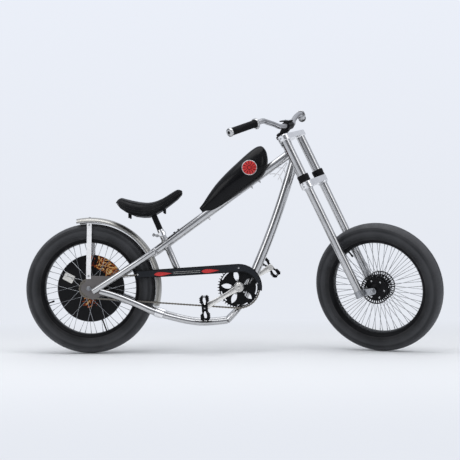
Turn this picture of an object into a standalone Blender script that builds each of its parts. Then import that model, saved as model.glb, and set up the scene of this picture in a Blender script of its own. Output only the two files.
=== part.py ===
"""Chopper bicycle with a chromed frame, a long raked fork and two fat wheels.

Metres, +X forward, +Y to the rider's left, +Z up. Every size below is measured
from the rear axle along X and from the ground along Z, and an empty at the
rider's seat then carries the whole bicycle.
"""
import math

import bmesh
import bpy
from mathutils import Matrix, Vector
from mathutils.geometry import convex_hull_2d, intersect_line_line

# Facets of a large, a middling and a small round piece
LARGE_ROUND = 20
MIDDLE_ROUND = 16
SMALL_ROUND = 12

# Clearances
SEAT_GAP = 0.0003
RUNNING_GAP = 0.0010
OVERRUN = 0.010

# Wheels, the same size front and rear
TYRE_RADIUS = 0.279
TYRE_HALF_WIDTH = 0.038
TYRE_BEAD_HALF_WIDTH = 0.030
TYRE_BEAD_RADIUS = 0.2093
TYRE_BELLY_RADIUS = 0.241
TYRE_TREAD_SHARE = 0.32
TYRE_SHOULDER_SHARE = 0.80
TYRE_SHOULDER_DROP_SHARE = 0.30
RIM_HALF_WIDTH = 0.031
RIM_DEPTH = 0.0133
RIM_BED_HALF_WIDTH = 0.016
WHEEL_FACETS = 48
SPOKE_THICKNESS = 0.0022
SPOKE_RIM_OFFSET = 0.005

# Front hub, a wide flange for each side's radial spokes
FRONT_SPOKES_A_SIDE = 36
FRONT_FLANGE_RADIUS = 0.064
FRONT_FLANGE_Y = 0.036
FRONT_HUB_CORE_RADIUS = 0.020
FRONT_HUB_END_RADIUS = 0.013
FRONT_HUB_HALF_LENGTH = 0.058
FRONT_HUB_SHOULDER = 0.048

# Rear hub with a coaster brake, crossed spokes
REAR_SPOKES_A_SIDE = 24
REAR_FLANGE_RADIUS = 0.035
REAR_FLANGE_Y = 0.034
REAR_HUB_CORE_RADIUS = 0.024
REAR_HUB_END_RADIUS = 0.017
REAR_HUB_HALF_LENGTH = 0.0550
REAR_HUB_SHOULDER = 0.0460
REAR_SPOKE_ROW_STEP = 0.0036
REAR_SPOKE_LEAD = math.radians(45.0)
REAR_SPOKE_FOOT_WIDTH = 0.0034

# Wheel axles
AXLE_RADIUS = 0.005
CONE_RADIUS = 0.0085
NUT_RADIUS = 0.0095
NUT_THICKNESS = 0.009
AXLE_STUB = 0.007

# Round card laid between the rear spokes
CARD_RADIUS = 0.1445
CARD_THICKNESS = 0.002

# Drive: half-inch chain on a 44 tooth chainring and a 20 tooth sprocket
CHAIN_PITCH = 0.0127
CHAINRING_TEETH = 44
SPROCKET_TEETH = 20
CHAINSTAY = 0.6395
CHAIN_LINE = 0.052
CHAIN_PLATE_HEIGHT = 0.0084
CHAIN_INNER_HALF_WIDTH = 0.0024
CHAIN_HALF_WIDTH = 0.0048
CHAIN_ROLLER_LENGTH = 0.0060
SPROCKET_THICKNESS = 0.0028
TOOTH_HEIGHT = 0.0024
TOOTH_ROOT_WIDTH = 0.0050
TOOTH_TIP_WIDTH = 0.0020
TOOTH_ROOT_CLEARANCE = 0.0008

# Chainring windows
WINDOW_COUNT = 5
WINDOW_INNER_RADIUS = 0.024
WINDOW_OUTER_RADIUS = 0.075
WINDOW_HALF_WIDTH = 0.011
WINDOW_FULLNESS = 0.8
RIM_SLOT_RADIUS = 0.077
RIM_SLOT_WIDTH = 0.005
RIM_SLOT_ANGLE = math.radians(34.0)

# Cranks and bottom bracket
CRANK_LENGTH = 0.165
CRANK_ANGLE = math.radians(30.0)
CRANK_INNER_Y = 0.0795
CRANK_THICKNESS = 0.014
CRANK_ROOT_RADIUS = 0.018
CRANK_TIP_RADIUS = 0.0135
CRANK_BOSS_RADIUS = 0.0165
SPINDLE_RADIUS = 0.0085
BRACKET_RADIUS = 0.0215
BRACKET_HALF_LENGTH = 0.040

# Pedals
PEDAL_AXLE_RADIUS = 0.0055
PEDAL_BARREL_RADIUS = 0.0105
PEDAL_LENGTH = 0.104
PEDAL_WIDTH = 0.088
PEDAL_CAGE_HEIGHT = 0.030
PEDAL_TOOTH = 0.0040
PEDAL_CAGE_WALL = 0.0055
PEDAL_FLANGE = 0.008
PEDAL_RIGHT_ANGLE = math.radians(94.0)
PEDAL_LEFT_ANGLE = math.radians(133.0)

# A quarter of the pedal's outline, as shares of its length, cage and tooth
PEDAL_SHARES = (
    (0.10, 0.67, 0.0),
    (0.34, 0.67, 0.0),
    (0.48, 1.00, 0.0),
    (0.54, 1.00, 1.0),
    (0.62, 1.00, 0.0),
    (0.68, 1.00, 1.0),
    (0.76, 1.00, 0.0),
    (0.82, 1.00, 1.0),
    (0.90, 1.00, 0.0),
    (1.00, 0.66, 0.0),
    (0.92, 0.33, 0.0),
)
PEDAL_WINDOW_SHARES = ((0.62, 1.0), (1.0, 0.7))

# Steering axis and front wheel
WHEELBASE = 1.248
RAKE = math.radians(25.2)
STEER_ANGLE = math.radians(30.0)
AXLE_OFFSET = 0.0936
LEG_OFFSET = 0.040
LEG_HALF_SPREAD = 0.084

# Fork, heights are along the steering axis from the foot of the axle's offset
UPPER_LEG_RADIUS = 0.019
LOWER_LEG_RADIUS = 0.0175
LEG_FOOT_HEIGHT = -0.002
LOWER_CROWN_HEIGHT = 0.515
LOWER_CROWN_THICKNESS = 0.026
CROWN_SPACING = 0.197
TOP_CROWN_THICKNESS = 0.022
CROWN_LOBE_RADIUS = 0.0245
CROWN_CENTRE_RADIUS = 0.025
COLLAR_RADIUS = 0.025
COLLAR_HEIGHT = 0.031
FORK_TIP_THICKNESS = 0.008
FORK_TIP_INNER_Y = 0.0665
FORK_TIP_EYE_RADIUS = 0.014
FORK_TIP_SOCKET_RADIUS = 0.0205
FORK_TIP_SOCKET_HEIGHT = 0.030
STEERER_RADIUS = 0.0143
RACE_RADIUS = 0.022
RACE_THICKNESS = 0.003
HEAD_TUBE_RADIUS = 0.0200
HEAD_CUP_RADIUS = 0.0240
HEAD_CUP_HEIGHT = 0.014

# Stem and handlebar, the clamp's rise is from the top of the top crown
BAR_RADIUS = 0.0111
BAR_FORWARD = 0.046
BAR_CLAMP_RISE = 0.037
BAR_RISE = 0.043
BAR_SHOULDER_Y = 0.205
BAR_SHOULDER_FORWARD = 0.038
BAR_SWEEP = math.radians(22.0)
BAR_GRIP_STEP = 0.034
STEM_CLAMP_RADIUS = 0.0185
STEM_CLAMP_HALF_LENGTH = 0.027
STEM_POST_RADIUS = 0.0220
STEM_POST_HEIGHT = 0.024
STEM_BLOCK_HALF_WIDTH = 0.0190
STEM_LID_THICKNESS = 0.007
STEM_LID_LENGTH = 0.046
STEM_LID_HALF_WIDTH = 0.024
STEM_LOW_SHARE = 0.1
STEM_HIGH_SHARE = 0.9
GRIP_LENGTH = 0.137
GRIP_RADIUS = 0.0155
GRIP_FLANGE_RADIUS = 0.0200
GRIP_FLANGE_LENGTH = 0.005
GRIP_COLLAR_LENGTH = 0.014
GRIP_COLLAR_RADIUS = 0.0190
GRIP_CAP_LENGTH = 0.011
GRIP_CAP_RADIUS = 0.0180
GRIP_CAP_EDGE_SHARE = 0.6
GRIP_CAP_FACE_SHARE = 0.8

# Handlebar knots: shares of the forward reach, the shoulder's width, the rise
BAR_SHARES = (
    (0.86, 0.351, 0.10),
    (0.75, 0.524, 0.48),
    (0.72, 0.829, 0.92),
)

# Frame tubes
TOP_TUBE_RADIUS = 0.0190
TOP_TUBE_HEAD_DROP = 0.0515
DOWN_TUBE_RADIUS = 0.0200
DOWN_TUBE_HEAD_DROP = 0.088
DOWN_TUBE_FOOT_LEAD = 0.0155
DOWN_TUBE_FOOT_Z = 0.222
DOWN_TUBE_BOW = 0.014
YOKE_RADIUS = 0.013
YOKE_END_SHARE = 0.6
YOKE_ANGLE = math.radians(29.0)
STAY_RADIUS = 0.0143
STAY_FOOT_X = 0.0186
STAY_FOOT_Z = 0.2647
STAY_FOOT_Y = 0.0765
STAY_TOP_Y = 0.0670
RAIL_RADIUS = 0.0125
RAIL_REAR_Y = 0.0755
RAIL_FRONT_Y = 0.060
CRADLE_RADIUS = 0.0125
CRADLE_TOP_Y = 0.010

# Lower rail, and its knots as shares of its length, rise and way inward
RAIL_REAR_X = 0.050
RAIL_FRONT_GAP = 0.0495
RAIL_LOW_Z = 0.130
RAIL_RISE = 0.1365
RAIL_SHARES = (
    (0.000, 1.000, 0.0),
    (0.124, 0.853, 0.0),
    (0.274, 0.615, 0.0),
    (0.393, 0.403, 0.1),
    (0.496, 0.249, 0.3),
    (0.609, 0.125, 0.6),
    (0.700, 0.044, 0.8),
    (0.789, 0.000, 1.0),
    (0.878, 0.007, 1.0),
    (1.000, 0.051, 1.0),
)

# Rear plates, and their outline as shares: flat top, lobed foot, hooked front
PLATE_INNER_Y = 0.060
PLATE_THICKNESS = 0.006
PLATE_REAR_X = -0.0335
PLATE_LENGTH = 0.1265
PLATE_LOW_Z = 0.2330
PLATE_HEIGHT = 0.1010
PLATE_SHARES = (
    (0.186, 1.000),
    (0.178, 0.747),
    (0.107, 0.653),
    (0.012, 0.589),
    (0.000, 0.366),
    (0.121, 0.250),
    (0.265, 0.089),
    (0.336, 0.001),
    (0.462, 0.000),
    (0.581, 0.089),
    (0.662, 0.132),
    (0.788, 0.110),
    (0.834, 0.228),
    (0.771, 0.426),
    (0.866, 0.624),
    (1.000, 0.792),
    (1.000, 0.970),
)

# Seat tube, post and clamp
SEAT_TUBE_RADIUS = 0.0143
SEAT_TUBE_TOP_X = 0.3005
SEAT_TUBE_TOP_Z = 0.530
SEAT_TUBE_ANGLE = math.radians(66.9)
SEAT_TUBE_FOOT_RISE = 0.0022
SEAT_POST_RADIUS = 0.0127
SEAT_POST_EXPOSED = 0.0735
SEAT_POST_INSERT = 0.060
SEAT_CLAMP_WALL = 0.0036
SEAT_CLAMP_HEIGHT = 0.016
SEAT_CLAMP_DROP = 0.012
SEAT_BOLT_RADIUS = 0.0065
SEAT_BOLT_HALF_LENGTH = 0.015

# Saddle
SADDLE_REAR_X = 0.1190
SADDLE_LENGTH = 0.2780
SADDLE_MID_Z = 0.630
SADDLE_HEIGHT = 0.122
SADDLE_HALF_WIDTH = 0.108
SADDLE_PAN_THICKNESS = 0.012
SADDLE_PAN_SHARE = 0.3

# Saddle rings: place along, top, underside and width as shares
SADDLE_SHARES = (
    (0.000, 0.150, 0.080, 0.62),
    (0.060, 0.300, -0.080, 0.86),
    (0.150, 0.260, -0.220, 0.98),
    (0.260, 0.200, -0.330, 1.00),
    (0.380, 0.150, -0.368, 0.94),
    (0.480, 0.135, -0.370, 0.80),
    (0.580, 0.175, -0.290, 0.60),
    (0.700, 0.285, -0.140, 0.44),
    (0.820, 0.455, 0.060, 0.36),
    (0.930, 0.595, 0.250, 0.31),
    (1.000, 0.560, 0.420, 0.22),
)

# Half of a saddle ring, and of its pan's ring, as shares of width and height
SADDLE_RING_SHARES = ((0.90, 0.0), (1.0, 0.28), (0.93, 0.62), (0.70, 0.90), (0.30, 1.0))
SADDLE_PAN_EDGE_SHARE = 0.90
SADDLE_PAN_FLOOR_SHARE = 0.70

# Tank
TANK_START = 0.2665
TANK_LENGTH = 0.381
TANK_HEIGHT = 0.123
TANK_HALF_WIDTH = 0.058
TANK_SIDE_FULLNESS = 0.72
TANK_TOP_FULLNESS = 0.80
TANK_SHOULDER_SHARE = 0.18

# Tank rings: place along, top, underside and width as shares
TANK_SHARES = (
    (0.000, 0.330, 0.158, 0.16),
    (0.072, 0.395, -0.050, 0.34),
    (0.162, 0.504, -0.075, 0.52),
    (0.313, 0.658, -0.090, 0.74),
    (0.492, 0.769, -0.105, 0.92),
    (0.650, 0.830, -0.112, 1.00),
    (0.780, 0.875, -0.108, 0.97),
    (0.870, 0.892, 0.000, 0.86),
    (0.940, 0.880, 0.200, 0.68),
    (0.985, 0.820, 0.430, 0.46),
    (1.000, 0.740, 0.560, 0.26),
)

# Rear fender and its struts
FENDER_RADIUS = 0.306
FENDER_LIP_RADIUS = 0.2835
FENDER_HALF_WIDTH = 0.043
FENDER_THICKNESS = 0.0018
FENDER_START = math.radians(-15.0)
FENDER_END = math.radians(101.0)
FENDER_STEPS_BEFORE_YOKE = 6
FENDER_STEPS_AFTER_YOKE = 10
FENDER_PROFILE_STEPS = 6
FENDER_ARCH_POWER = 0.75
STRUT_WIDTH = 0.020
STRUT_THICKNESS = 0.0035
STRUT_LAP = 0.014

# Chain guard
GUARD_OUTER_Y = 0.0645
GUARD_THICKNESS = 0.0022
GUARD_REAR_X = 0.2015
GUARD_REAR_HEIGHT = 0.033
GUARD_REAR_MIDDLE_Z = 0.3365
GUARD_HOOP_RADIUS = 0.100
GUARD_HOOP_END = math.radians(-9.0)
GUARD_INNER_START_SHARE = 0.64
GUARD_INNER_END_SHARE = 0.81
GUARD_LIP_DEPTH = 0.010
GUARD_PEG_RADIUS = 0.005

# Coaster brake arm on the left
BRAKE_ARM_THICKNESS = 0.003
BRAKE_ARM_ROOT_RADIUS = 0.017
BRAKE_ARM_TIP_RADIUS = 0.009

# Wire web in the corner of the frame
WEB_WIRE_RADIUS = 0.0016
WEB_ARC_REACHES = (0.060, 0.105)
WEB_SAG_SHARE = 0.22
WEB_START_SHARE = 0.15
WEB_RADIAL_SHARES = (0.33, 0.67)

# Rider's seat point, the bicycle's own origin
RIDER_X = 0.2300
RIDER_Z = 0.6480

AXLE_ACROSS = (-math.pi / 2, 0.0, 0.0)
CHROME = ("chrome", (0.80, 0.81, 0.83, 1.0), 0.12, 1.0)
SILVER = ("silver", (0.62, 0.63, 0.65, 1.0), 0.30, 1.0)
STEEL = ("grey_steel", (0.38, 0.39, 0.41, 1.0), 0.40, 0.9)
BLACK_PAINT = ("black_paint", (0.012, 0.012, 0.014, 1.0), 0.18, 0.0)
BLACK_METAL = ("black_metal", (0.020, 0.020, 0.022, 1.0), 0.35, 0.6)
BLACK_RUBBER = ("black_rubber", (0.022, 0.022, 0.024, 1.0), 0.75, 0.0)
BLACK_LEATHER = ("black_leather", (0.025, 0.025, 0.028, 1.0), 0.45, 0.0)
CARD_BLACK = ("printed_card", (0.030, 0.024, 0.022, 1.0), 0.55, 0.0)


def clear_scene():
    for item in list(bpy.data.objects):
        bpy.data.objects.remove(item, do_unlink=True)


def make_material(finish):
    """Return the shared Principled material of a finish, made on first use."""
    name, colour, roughness, metallic = finish
    found = bpy.data.materials.get(name)
    if found:
        return found
    made = bpy.data.materials.new(name)
    made.use_nodes = True
    shader = made.node_tree.nodes["Principled BSDF"]
    shader.inputs["Base Color"].default_value = colour
    shader.inputs["Roughness"].default_value = roughness
    shader.inputs["Metallic"].default_value = metallic
    made.diffuse_color = colour
    return made


def make_empty(name, parent=None, location=(0.0, 0.0, 0.0)):
    empty = bpy.data.objects.new(name, None)
    bpy.context.scene.collection.objects.link(empty)
    empty.parent = parent
    empty.location = location
    return empty


def make_object(name, mesh_builder, finish, parent, location=(0.0, 0.0, 0.0), rotation=(0.0, 0.0, 0.0)):
    """Turn a bmesh into a named, smoothly shaded object with its own place."""
    bmesh.ops.recalc_face_normals(mesh_builder, faces=mesh_builder.faces[:])
    if mesh_builder.calc_volume(signed=True) < 0:
        bmesh.ops.reverse_faces(mesh_builder, faces=mesh_builder.faces[:])
    mesh = bpy.data.meshes.new(name)
    mesh_builder.to_mesh(mesh)
    mesh_builder.free()
    mesh.materials.append(make_material(finish))
    mesh.shade_smooth()
    mesh.set_sharp_from_angle(angle=math.radians(35.0))
    item = bpy.data.objects.new(name, mesh)
    bpy.context.scene.collection.objects.link(item)
    item.parent = parent
    item.location = location
    item.rotation_euler = rotation
    return item


def make_tool(name, mesh_builder, parent, location=(0.0, 0.0, 0.0), rotation=(0.0, 0.0, 0.0)):
    """A cutter or a shape to be joined: it is not a part of the bicycle."""
    tool = make_object(name, mesh_builder, BLACK_METAL, parent, location, rotation)
    tool.hide_render = True
    tool.display_type = "WIRE"
    return tool


def combine(item, tool, operation):
    change = item.modifiers.new(operation.title(), "BOOLEAN")
    change.operation = operation
    change.solver = "EXACT"
    change.object = tool


def cut(item, tool):
    combine(item, tool, "DIFFERENCE")


def unite(item, tool):
    combine(item, tool, "UNION")


def lathe(profile, facets):
    """Turn a closed profile of (radius, height) points round local Z."""
    shape = bmesh.new()
    columns = []
    for radius, height in profile:
        if radius == 0.0:
            columns.append([shape.verts.new((0.0, 0.0, height))] * facets)
            continue
        ring = []
        for step in range(facets):
            angle = math.tau * step / facets
            ring.append(shape.verts.new((radius * math.cos(angle), radius * math.sin(angle), height)))
        columns.append(ring)
    for index, ring in enumerate(columns):
        following = columns[(index + 1) % len(columns)]
        for step in range(facets):
            ahead = (step + 1) % facets
            corners = [ring[step], ring[ahead], following[ahead], following[step]]
            kept = list(dict.fromkeys(corners))
            if len(kept) > 2:
                shape.faces.new(kept)
    return shape


def rod(radius, length, facets=MIDDLE_ROUND, start=0.0):
    """A plain round bar along local Z."""
    return lathe([(0.0, start), (radius, start), (radius, start + length), (0.0, start + length)], facets)


def ring_bar(inner, outer, length, facets=LARGE_ROUND, start=0.0):
    """A plain round tube with open ends along local Z."""
    return lathe([(inner, start), (outer, start), (outer, start + length), (inner, start + length)], facets)


def prism(outline, low, high):
    """Raise a flat outline of (x, y) points from one height to another."""
    shape = bmesh.new()
    bottom = [shape.verts.new((x, y, low)) for x, y in outline]
    top = [shape.verts.new((x, y, high)) for x, y in outline]
    shape.faces.new(bottom[::-1])
    shape.faces.new(top)
    count = len(outline)
    for index in range(count):
        ahead = (index + 1) % count
        shape.faces.new((bottom[index], bottom[ahead], top[ahead], top[index]))
    return shape


def upright_prism(outline, near_y, far_y):
    """Raise an outline of (x, z) points sideways between two Y places."""
    shape = prism(outline, near_y, far_y)
    for vert in shape.verts:
        vert.co = Vector((vert.co.x, vert.co.z, vert.co.y))
    return shape


def circle_points(centre_x, centre_y, radius, count=16, start=0.0, sweep=math.tau):
    steps = count if sweep == math.tau else count - 1
    points = []
    for step in range(count):
        angle = start + sweep * step / steps
        points.append((centre_x + radius * math.cos(angle), centre_y + radius * math.sin(angle)))
    return points


def hull(points):
    """The outline that a band stretched round the points would take."""
    return [points[index] for index in convex_hull_2d(points)]


def tube_mesh(path, radius, facets):
    """A solid round bar along a path, with flat ends."""
    shape = bmesh.new()
    last = len(path) - 1
    side = Vector((0.0, 1.0, 0.0))
    rings = []
    for index, point in enumerate(path):
        before = path[max(index - 1, 0)]
        after = path[min(index + 1, last)]
        along = (after - before).normalized()
        side = (side - along * side.dot(along)).normalized()
        across = along.cross(side)
        ring = []
        for step in range(facets):
            angle = math.tau * (step + 0.5) / facets
            ring.append(shape.verts.new(point + radius * (math.cos(angle) * side + math.sin(angle) * across)))
        rings.append(ring)
    for ring, following in zip(rings, rings[1:]):
        for step in range(facets):
            ahead = (step + 1) % facets
            shape.faces.new((ring[step], ring[ahead], following[ahead], following[step]))
    shape.faces.new(rings[0][::-1])
    shape.faces.new(rings[-1])
    return shape


def smooth_path(knots, steps):
    """A soft curve through the knots, with a few points between each two."""
    path = []
    last = len(knots) - 1
    for index in range(last):
        start = knots[index]
        end = knots[index + 1]
        before = knots[max(index - 1, 0)]
        after = knots[min(index + 2, last)]
        for step in range(steps):
            share = step / steps
            leave = (end - before) / 2
            arrive = (after - start) / 2
            square = share * share
            cube = square * share
            path.append((2 * cube - 3 * square + 1) * start + (cube - 2 * square + share) * leave
                        + (3 * square - 2 * cube) * end + (cube - square) * arrive)
    path.append(knots[last].copy())
    return path


def loft(sections):
    """Skin a row of point rings that all have the same count."""
    shape = bmesh.new()
    rings = [[shape.verts.new(point) for point in section] for section in sections]
    count = len(rings[0])
    for ring, following in zip(rings, rings[1:]):
        for step in range(count):
            ahead = (step + 1) % count
            shape.faces.new((ring[step], ring[ahead], following[ahead], following[step]))
    shape.faces.new(rings[0][::-1])
    shape.faces.new(rings[-1])
    return shape


def bar_strip(path, width_axis, width, thickness):
    """A flat bar along a path, wide along width_axis."""
    sections = []
    last = len(path) - 1
    for index, point in enumerate(path):
        along = (path[min(index + 1, last)] - path[max(index - 1, 0)]).normalized()
        normal = along.cross(width_axis).normalized()
        wide = width_axis * (width / 2)
        thick = normal * (thickness / 2)
        near = point - thick
        far = point + thick
        sections.append([near - wide, near + wide, far + wide, far - wide])
    return loft(sections)


def place_between(start, end):
    """Location and Euler turn that lay local Z from one point to another."""
    turn = (end - start).to_track_quat("Z", "Y").to_euler()
    return start, turn


# Layout that the sizes above settle
RIM_BED_RADIUS = TYRE_BEAD_RADIUS - RIM_DEPTH
AXLE_Z = TYRE_RADIUS
BRACKET = Vector((CHAINSTAY, 0.0, AXLE_Z))
STEER_UP = Vector((-math.sin(RAKE), 0.0, math.cos(RAKE)))
STEER_FORWARD = Vector((math.cos(RAKE), 0.0, math.sin(RAKE)))
STEER_FOOT = Vector((WHEELBASE, 0.0, AXLE_Z)) - STEER_FORWARD * AXLE_OFFSET
CRANK_OUTER_Y = CRANK_INNER_Y + CRANK_THICKNESS
PLATE_OUTER_Y = PLATE_INNER_Y + PLATE_THICKNESS
FORK_TIP_OUTER_Y = FORK_TIP_INNER_Y + FORK_TIP_THICKNESS
LOWER_CROWN_TOP = LOWER_CROWN_HEIGHT + LOWER_CROWN_THICKNESS
TOP_CROWN_HEIGHT = LOWER_CROWN_TOP + CROWN_SPACING
TOP_CROWN_TOP = TOP_CROWN_HEIGHT + TOP_CROWN_THICKNESS
BAR_CLAMP_HEIGHT = TOP_CROWN_TOP + BAR_CLAMP_RISE
HEAD_TUBE_LOW = LOWER_CROWN_TOP + RACE_THICKNESS + RUNNING_GAP
HEAD_TUBE_HIGH = TOP_CROWN_HEIGHT - RACE_THICKNESS - RUNNING_GAP
DOWN_TUBE_FOOT_X = CHAINSTAY + DOWN_TUBE_FOOT_LEAD
RAIL_LENGTH = CHAINSTAY - RAIL_FRONT_GAP - RAIL_REAR_X
YOKE_REACH = FENDER_RADIUS + YOKE_RADIUS + SEAT_GAP
YOKE_POINT = Vector((YOKE_REACH * math.cos(YOKE_ANGLE), 0.0, AXLE_Z + YOKE_REACH * math.sin(YOKE_ANGLE)))


def on_steering_axis(height):
    return STEER_FOOT + STEER_UP * height


TOP_TUBE_HEAD = on_steering_axis(TOP_CROWN_HEIGHT - TOP_TUBE_HEAD_DROP)
TOP_TUBE_TAIL = YOKE_POINT
TOP_TUBE_ALONG = (TOP_TUBE_HEAD - TOP_TUBE_TAIL).normalized()
TOP_TUBE_RISE = Vector((-TOP_TUBE_ALONG.z, 0.0, TOP_TUBE_ALONG.x))
SEAT_TUBE_DOWN = Vector((math.cos(SEAT_TUBE_ANGLE), 0.0, -math.sin(SEAT_TUBE_ANGLE)))
SEAT_TUBE_TOP = Vector((SEAT_TUBE_TOP_X, 0.0, SEAT_TUBE_TOP_Z))
SEAT_TUBE_FOOT_Z = GUARD_REAR_MIDDLE_Z + GUARD_REAR_HEIGHT / 2 + SEAT_TUBE_FOOT_RISE
SEAT_TUBE_LENGTH = (SEAT_TUBE_TOP_Z - SEAT_TUBE_FOOT_Z) / math.sin(SEAT_TUBE_ANGLE)
SEAT_TUBE_FOOT = SEAT_TUBE_TOP + SEAT_TUBE_DOWN * SEAT_TUBE_LENGTH


def side_name(stem, side):
    return stem + ("_left" if side > 0 else "_right")


def plate_outline():
    """Rear plate seen from the side, from the rear corner of its top."""
    return [(PLATE_REAR_X + PLATE_LENGTH * x_share, PLATE_LOW_Z + PLATE_HEIGHT * z_share)
            for x_share, z_share in PLATE_SHARES]


def rail_knots(side):
    """Bends of one lower rail, from the rear plate forward."""
    knots = []
    for x_share, z_share, inward_share in RAIL_SHARES:
        y = RAIL_REAR_Y + (RAIL_FRONT_Y - RAIL_REAR_Y) * inward_share
        z = RAIL_LOW_Z + RAIL_RISE * z_share
        knots.append(Vector((RAIL_REAR_X + RAIL_LENGTH * x_share, side * y, z)))
    return knots


def down_tube_path():
    top = on_steering_axis(TOP_CROWN_HEIGHT - DOWN_TUBE_HEAD_DROP)
    foot = Vector((DOWN_TUBE_FOOT_X, 0.0, DOWN_TUBE_FOOT_Z))
    chord = top - foot
    bow = Vector((chord.z, 0.0, -chord.x)).normalized() * DOWN_TUBE_BOW
    steps = 6
    shares = [step / steps for step in range(steps + 1)]
    return [foot + chord * share + bow * math.sin(math.pi * share) for share in shares]


def make_tyre(name, parent):
    tread = TYRE_HALF_WIDTH * TYRE_TREAD_SHARE
    shoulder = TYRE_HALF_WIDTH * TYRE_SHOULDER_SHARE
    shoulder_radius = TYRE_RADIUS - TYRE_HALF_WIDTH * TYRE_SHOULDER_DROP_SHARE
    half = [
        (TYRE_RADIUS, tread),
        (shoulder_radius, shoulder),
        (TYRE_BELLY_RADIUS, TYRE_HALF_WIDTH),
        (TYRE_BEAD_RADIUS, TYRE_BEAD_HALF_WIDTH),
    ]
    profile = [(radius, -height) for radius, height in reversed(half)] + half
    return make_object(name, lathe(profile, WHEEL_FACETS), BLACK_RUBBER, parent, rotation=AXLE_ACROSS)


def make_rim(name, parent):
    outer = TYRE_BEAD_RADIUS - SEAT_GAP
    profile = [
        (outer, -RIM_HALF_WIDTH),
        (outer, RIM_HALF_WIDTH),
        (RIM_BED_RADIUS, RIM_BED_HALF_WIDTH),
        (RIM_BED_RADIUS, -RIM_BED_HALF_WIDTH),
    ]
    return make_object(name, lathe(profile, WHEEL_FACETS), BLACK_METAL, parent, rotation=AXLE_ACROSS)


def stitch(shape, coarse, fine):
    """Join a ring to one that has a whole number of times its points."""
    ratio = len(fine) // len(coarse)
    for index, corner in enumerate(coarse):
        following = coarse[(index + 1) % len(coarse)]
        strand = [fine[(index * ratio + step) % len(fine)] for step in range(ratio + 1)]
        half = ratio // 2
        for step in range(ratio):
            owner = corner if step < half else following
            shape.faces.new((owner, strand[step], strand[step + 1]))
        shape.faces.new((corner, strand[half], following))


def hub_ring(shape, count, radius, height, first_angle):
    """One ring of points round a hub."""
    turns = [first_angle + math.tau * step / count for step in range(count)]
    return [shape.verts.new((radius * math.cos(turn), radius * math.sin(turn), height)) for turn in turns]


def flange_ring(shape, spokes, radius, height, offset, half_foot):
    """Ring of points round a flange, two for the foot of each spoke."""
    ring = []
    for step in range(spokes):
        middle = math.tau * (step + offset) / spokes
        for angle in (middle - half_foot, middle + half_foot):
            ring.append(shape.verts.new((radius * math.cos(angle), radius * math.sin(angle), height)))
    return ring


def band(shape, first, second):
    """Faces between two rings with the same number of points."""
    faces = []
    for step in range(len(first)):
        ahead = (step + 1) % len(first)
        faces.append(shape.faces.new((first[step], first[ahead], second[ahead], second[step])))
    return faces


def grow_spoke(shape, foot, middle, rim_height, level):
    """Draw one flange facet out into a spoke that ends at the rim's bed."""
    tip_half = SPOKE_THICKNESS / RIM_BED_RADIUS / 2
    reach = (RIM_BED_RADIUS - SEAT_GAP) * math.cos(math.pi / WHEEL_FACETS)
    tip = []
    for turn_sign, height_sign in ((-1, -level), (1, -level), (1, level), (-1, level)):
        angle = middle + turn_sign * tip_half
        height = rim_height + height_sign * SPOKE_THICKNESS / 2
        tip.append(shape.verts.new((reach * math.cos(angle), reach * math.sin(angle), height)))
    for index in range(4):
        ahead = (index + 1) % 4
        shape.faces.new((foot[index], foot[ahead], tip[ahead]))
        shape.faces.new((foot[index], tip[ahead], tip[index]))
    shape.faces.new(tip)


def make_hub(name, parent, spokes, flange_radius, flange_y, rows, foot_width, lead, ends, bore, finish):
    """One turned hub with every spoke grown from the rims of its two flanges."""
    core_radius, end_radius, shoulder_height, half_length = ends
    shape = bmesh.new()
    core_count = spokes // 3 * 2
    half_foot = foot_width / flange_radius / 2
    half_thick = SPOKE_THICKNESS / 2
    row_middles = (flange_y,)
    if rows == 2:
        row_middles = (flange_y - REAR_SPOKE_ROW_STEP / 2, flange_y + REAR_SPOKE_ROW_STEP / 2)
    inner_rings = []
    mouths = []
    for sign in (-1, 1):
        offset = 0.0 if sign < 0 else 0.5
        all_rings = []
        for middle_y in row_middles:
            for station in (middle_y - half_thick, middle_y + half_thick):
                all_rings.append(flange_ring(shape, spokes, flange_radius, sign * station, offset, half_foot))
        for index in range(len(all_rings) - 1):
            near, far = all_rings[index:index + 2]
            faces = band(shape, near, far)
            if index % 2:
                continue
            row = index // 2
            rim_height = sign * (SPOKE_RIM_OFFSET + row_middles[row] - flange_y)
            turn = lead if row else -lead
            for step in range(row, spokes, rows):
                shape.faces.remove(faces[2 * step])
                foot = (near[2 * step], near[2 * step + 1], far[2 * step + 1], far[2 * step])
                grow_spoke(shape, foot, math.tau * (step + offset) / spokes + turn, rim_height, sign)
        inner = hub_ring(shape, core_count, core_radius, sign * (row_middles[0] - half_thick), -half_foot)
        outer = hub_ring(shape, core_count, core_radius, sign * (row_middles[-1] + half_thick), -half_foot)
        stitch(shape, inner, all_rings[0])
        stitch(shape, outer, all_rings[-1])
        shoulder = hub_ring(shape, core_count, end_radius, sign * shoulder_height, -half_foot)
        end = hub_ring(shape, core_count, end_radius, sign * half_length, -half_foot)
        mouth = hub_ring(shape, core_count, bore, sign * half_length, -half_foot)
        band(shape, outer, shoulder)
        band(shape, shoulder, end)
        band(shape, end, mouth)
        inner_rings.append(inner)
        mouths.append(mouth)
    band(shape, *inner_rings)
    band(shape, *mouths)
    return make_object(name, shape, finish, parent, rotation=AXLE_ACROSS)


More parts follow.
